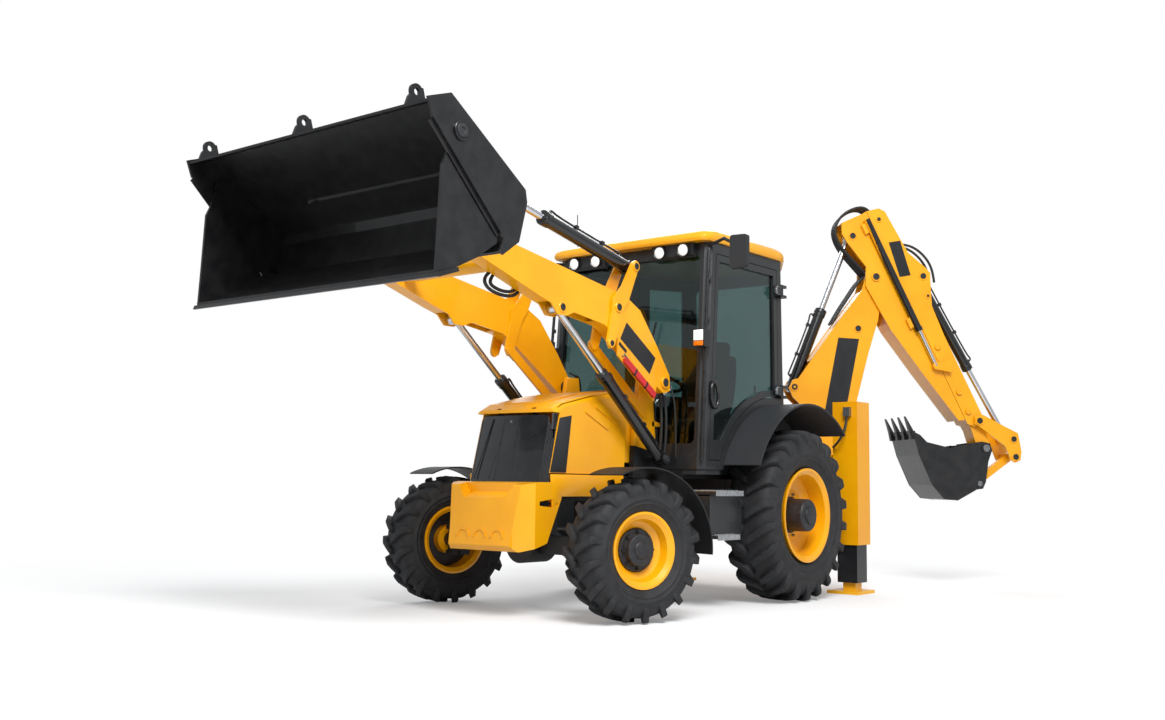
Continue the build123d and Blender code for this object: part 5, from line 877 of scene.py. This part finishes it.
# Extending ram: a slim black barrel clamped down the dipper's side and its bright rod, which the
# extending half pulls out.
LANE_HIGH, LANE_LOW, LANE_OUT = (860, 3580), (1396, 2461), 176
ROD_SHOWN = 380
lane_u, lane_v = LANE_LOW[0] - LANE_HIGH[0], LANE_LOW[1] - LANE_HIGH[1]
lane_long = hypot(lane_u, lane_v)
top = hoe(*LANE_HIGH, LANE_OUT)
bm = bmesh.new()
mouth = hoe(*LANE_LOW, LANE_OUT)
seat = axes(mouth, mouth - top, Vector((1, 1, 0)))
lathe(bm, seat, ((32.6, -1200), (32.8, -40), (38, -38), (38, 2), (22, 3)), steps=48)
settle("extending_ram_barrel", bm, rim_black, "dipper")
bm = bmesh.new()
rod_u, rod_v = lane_u / lane_long * ROD_SHOWN, lane_v / lane_long * ROD_SHOWN
rod_end = hoe(LANE_LOW[0] + rod_u, LANE_LOW[1] + rod_v, LANE_OUT)
seat = axes(rod_end, rod_end - top, Vector((1, 1, 0)))
lathe(bm, seat, ((19.5, -376), (19.5, -30), (24, -28), (24, -2)), steps=36)
settle("extending_ram_rod", bm, chrome, "dipper_slide")

# Hoses: braided rubber, clamped in pairs: over the dipper's head, over its hump, along the boom's
# back, inside the arms' feet, under the shovel's ram and from the sleeves' valves.
# Extruded rubber over braid: matt black with a faint ribbing, drawn 5 mm across so that it shows.
hose, tree, shader = surface("hydraulic_hose_rubber", "#18191A", 0.0, 0.55)
mottle(tree, shader, ("#141516", "#222325"), 5.0, (0.48, 0.66), depth_mm=0.4)
for k, q in enumerate((-80, -27, 27, 80)):
    run(f"dipper_head_hose_{k + 1}", "dipper", hose, 13, [hoe(s, z, q) for s, z in (
        (905, 3010), (800, 3120), (655 - 6 * k, 3290), (600 - 8 * k, 3440), (640, 3560 + 8 * k),
        (770, 3672), (900, 3690), (940, 3640))])
for k, q in enumerate((-60, 60)):
    run(f"dipper_hump_hose_{k + 1}", "dipper_slide", hose, 12, [hoe(s, z, q) for s, z in (
        (1240, 3330), (1330, 3330), (1440, 3280), (1540, 3180), (1590, 3060), (1600, 2960))])
for k, q in enumerate((-53, 0, 53)):
    run(f"boom_back_hose_{k + 1}", "boom", hose, 12, [hoe(s, z, q) for s, z in (
        (560, 2520), (640, 2660), (742, 2810), (820, 2930), (880, 2990))])
ARM_FOOT_Z = 1650
for hand, sign in HANDS:
    for k, y in enumerate((352, 368, 384)):
        run(f"tower_pipe_{hand}_{k + 1}", "chassis", rim_black, 6, [at(x, sign * y, z) for x, z in (
            (1120, 1120), (1132, 1200), (1160, 1420), (1192, 1640), (1212, 1790), (1250, 1822 + 8 * k),
            (1310, 1822 + 8 * k))])
    # The second hose lies behind the first and, below the arm's foot, 28 mm outside it.
    for k in range(2):
        run(f"tower_hose_{hand}_{k + 1}", "chassis", hose, 12, [
            at(x - 24 * k, sign * (y + (28 * k if z < ARM_FOOT_Z else 0)), z) for x, y, z in (
                (1262, 414, 1742), (1206, 438, 1704), (1194, 456, 1560), (1192, 460, 1400),
                (1196, 455, 1240), (1200, 440, 1140))])
    run(f"cab_front_hose_{hand}", "chassis", hose, 7, [at(x, sign * y, z) for x, y, z in (
        (1262, 414, 1770), (1182, 470, 1800), (1148, 545, 1650), (1142, 562, 1400), (1144, 562, 1150))])
    run(f"sleeve_hose_{hand}", "chassis", hose, 11, [at(x, sign * y, z) for x, y, z in (
        (-862, 1015, 1575), (-846, 1015, 1500), (-806, 1010, 1410), (-800, 960, 1330), (-850, 890, 1290),
        (-905, 856, 1290))])
for k in range(2):
    run(f"shovel_hose_{k + 1}", "arms", hose, 12, [at(x, 427, z) for x, z in (
        (2800 + 30 * k, 2320), (2856 + 20 * k, 2218 + 26 * k), (3000, 2192 + 30 * k),
        (3150 - 34 * k, 2218 + 26 * k), (3206 - 60 * k, 2277), (3140 - 50 * k, 2350), (3020, 2400))])
VALVE = ((985, 1560), (1045, 1560), (1045, 1640), (985, 1640))
bm = bmesh.new()
for _, sign in HANDS:
    prism(bm, [at(-890, sign * y, z) for y, z in VALVE], Vector((0.046, 0, 0)))
settle("sleeve_valves", bm, zinc, "chassis")
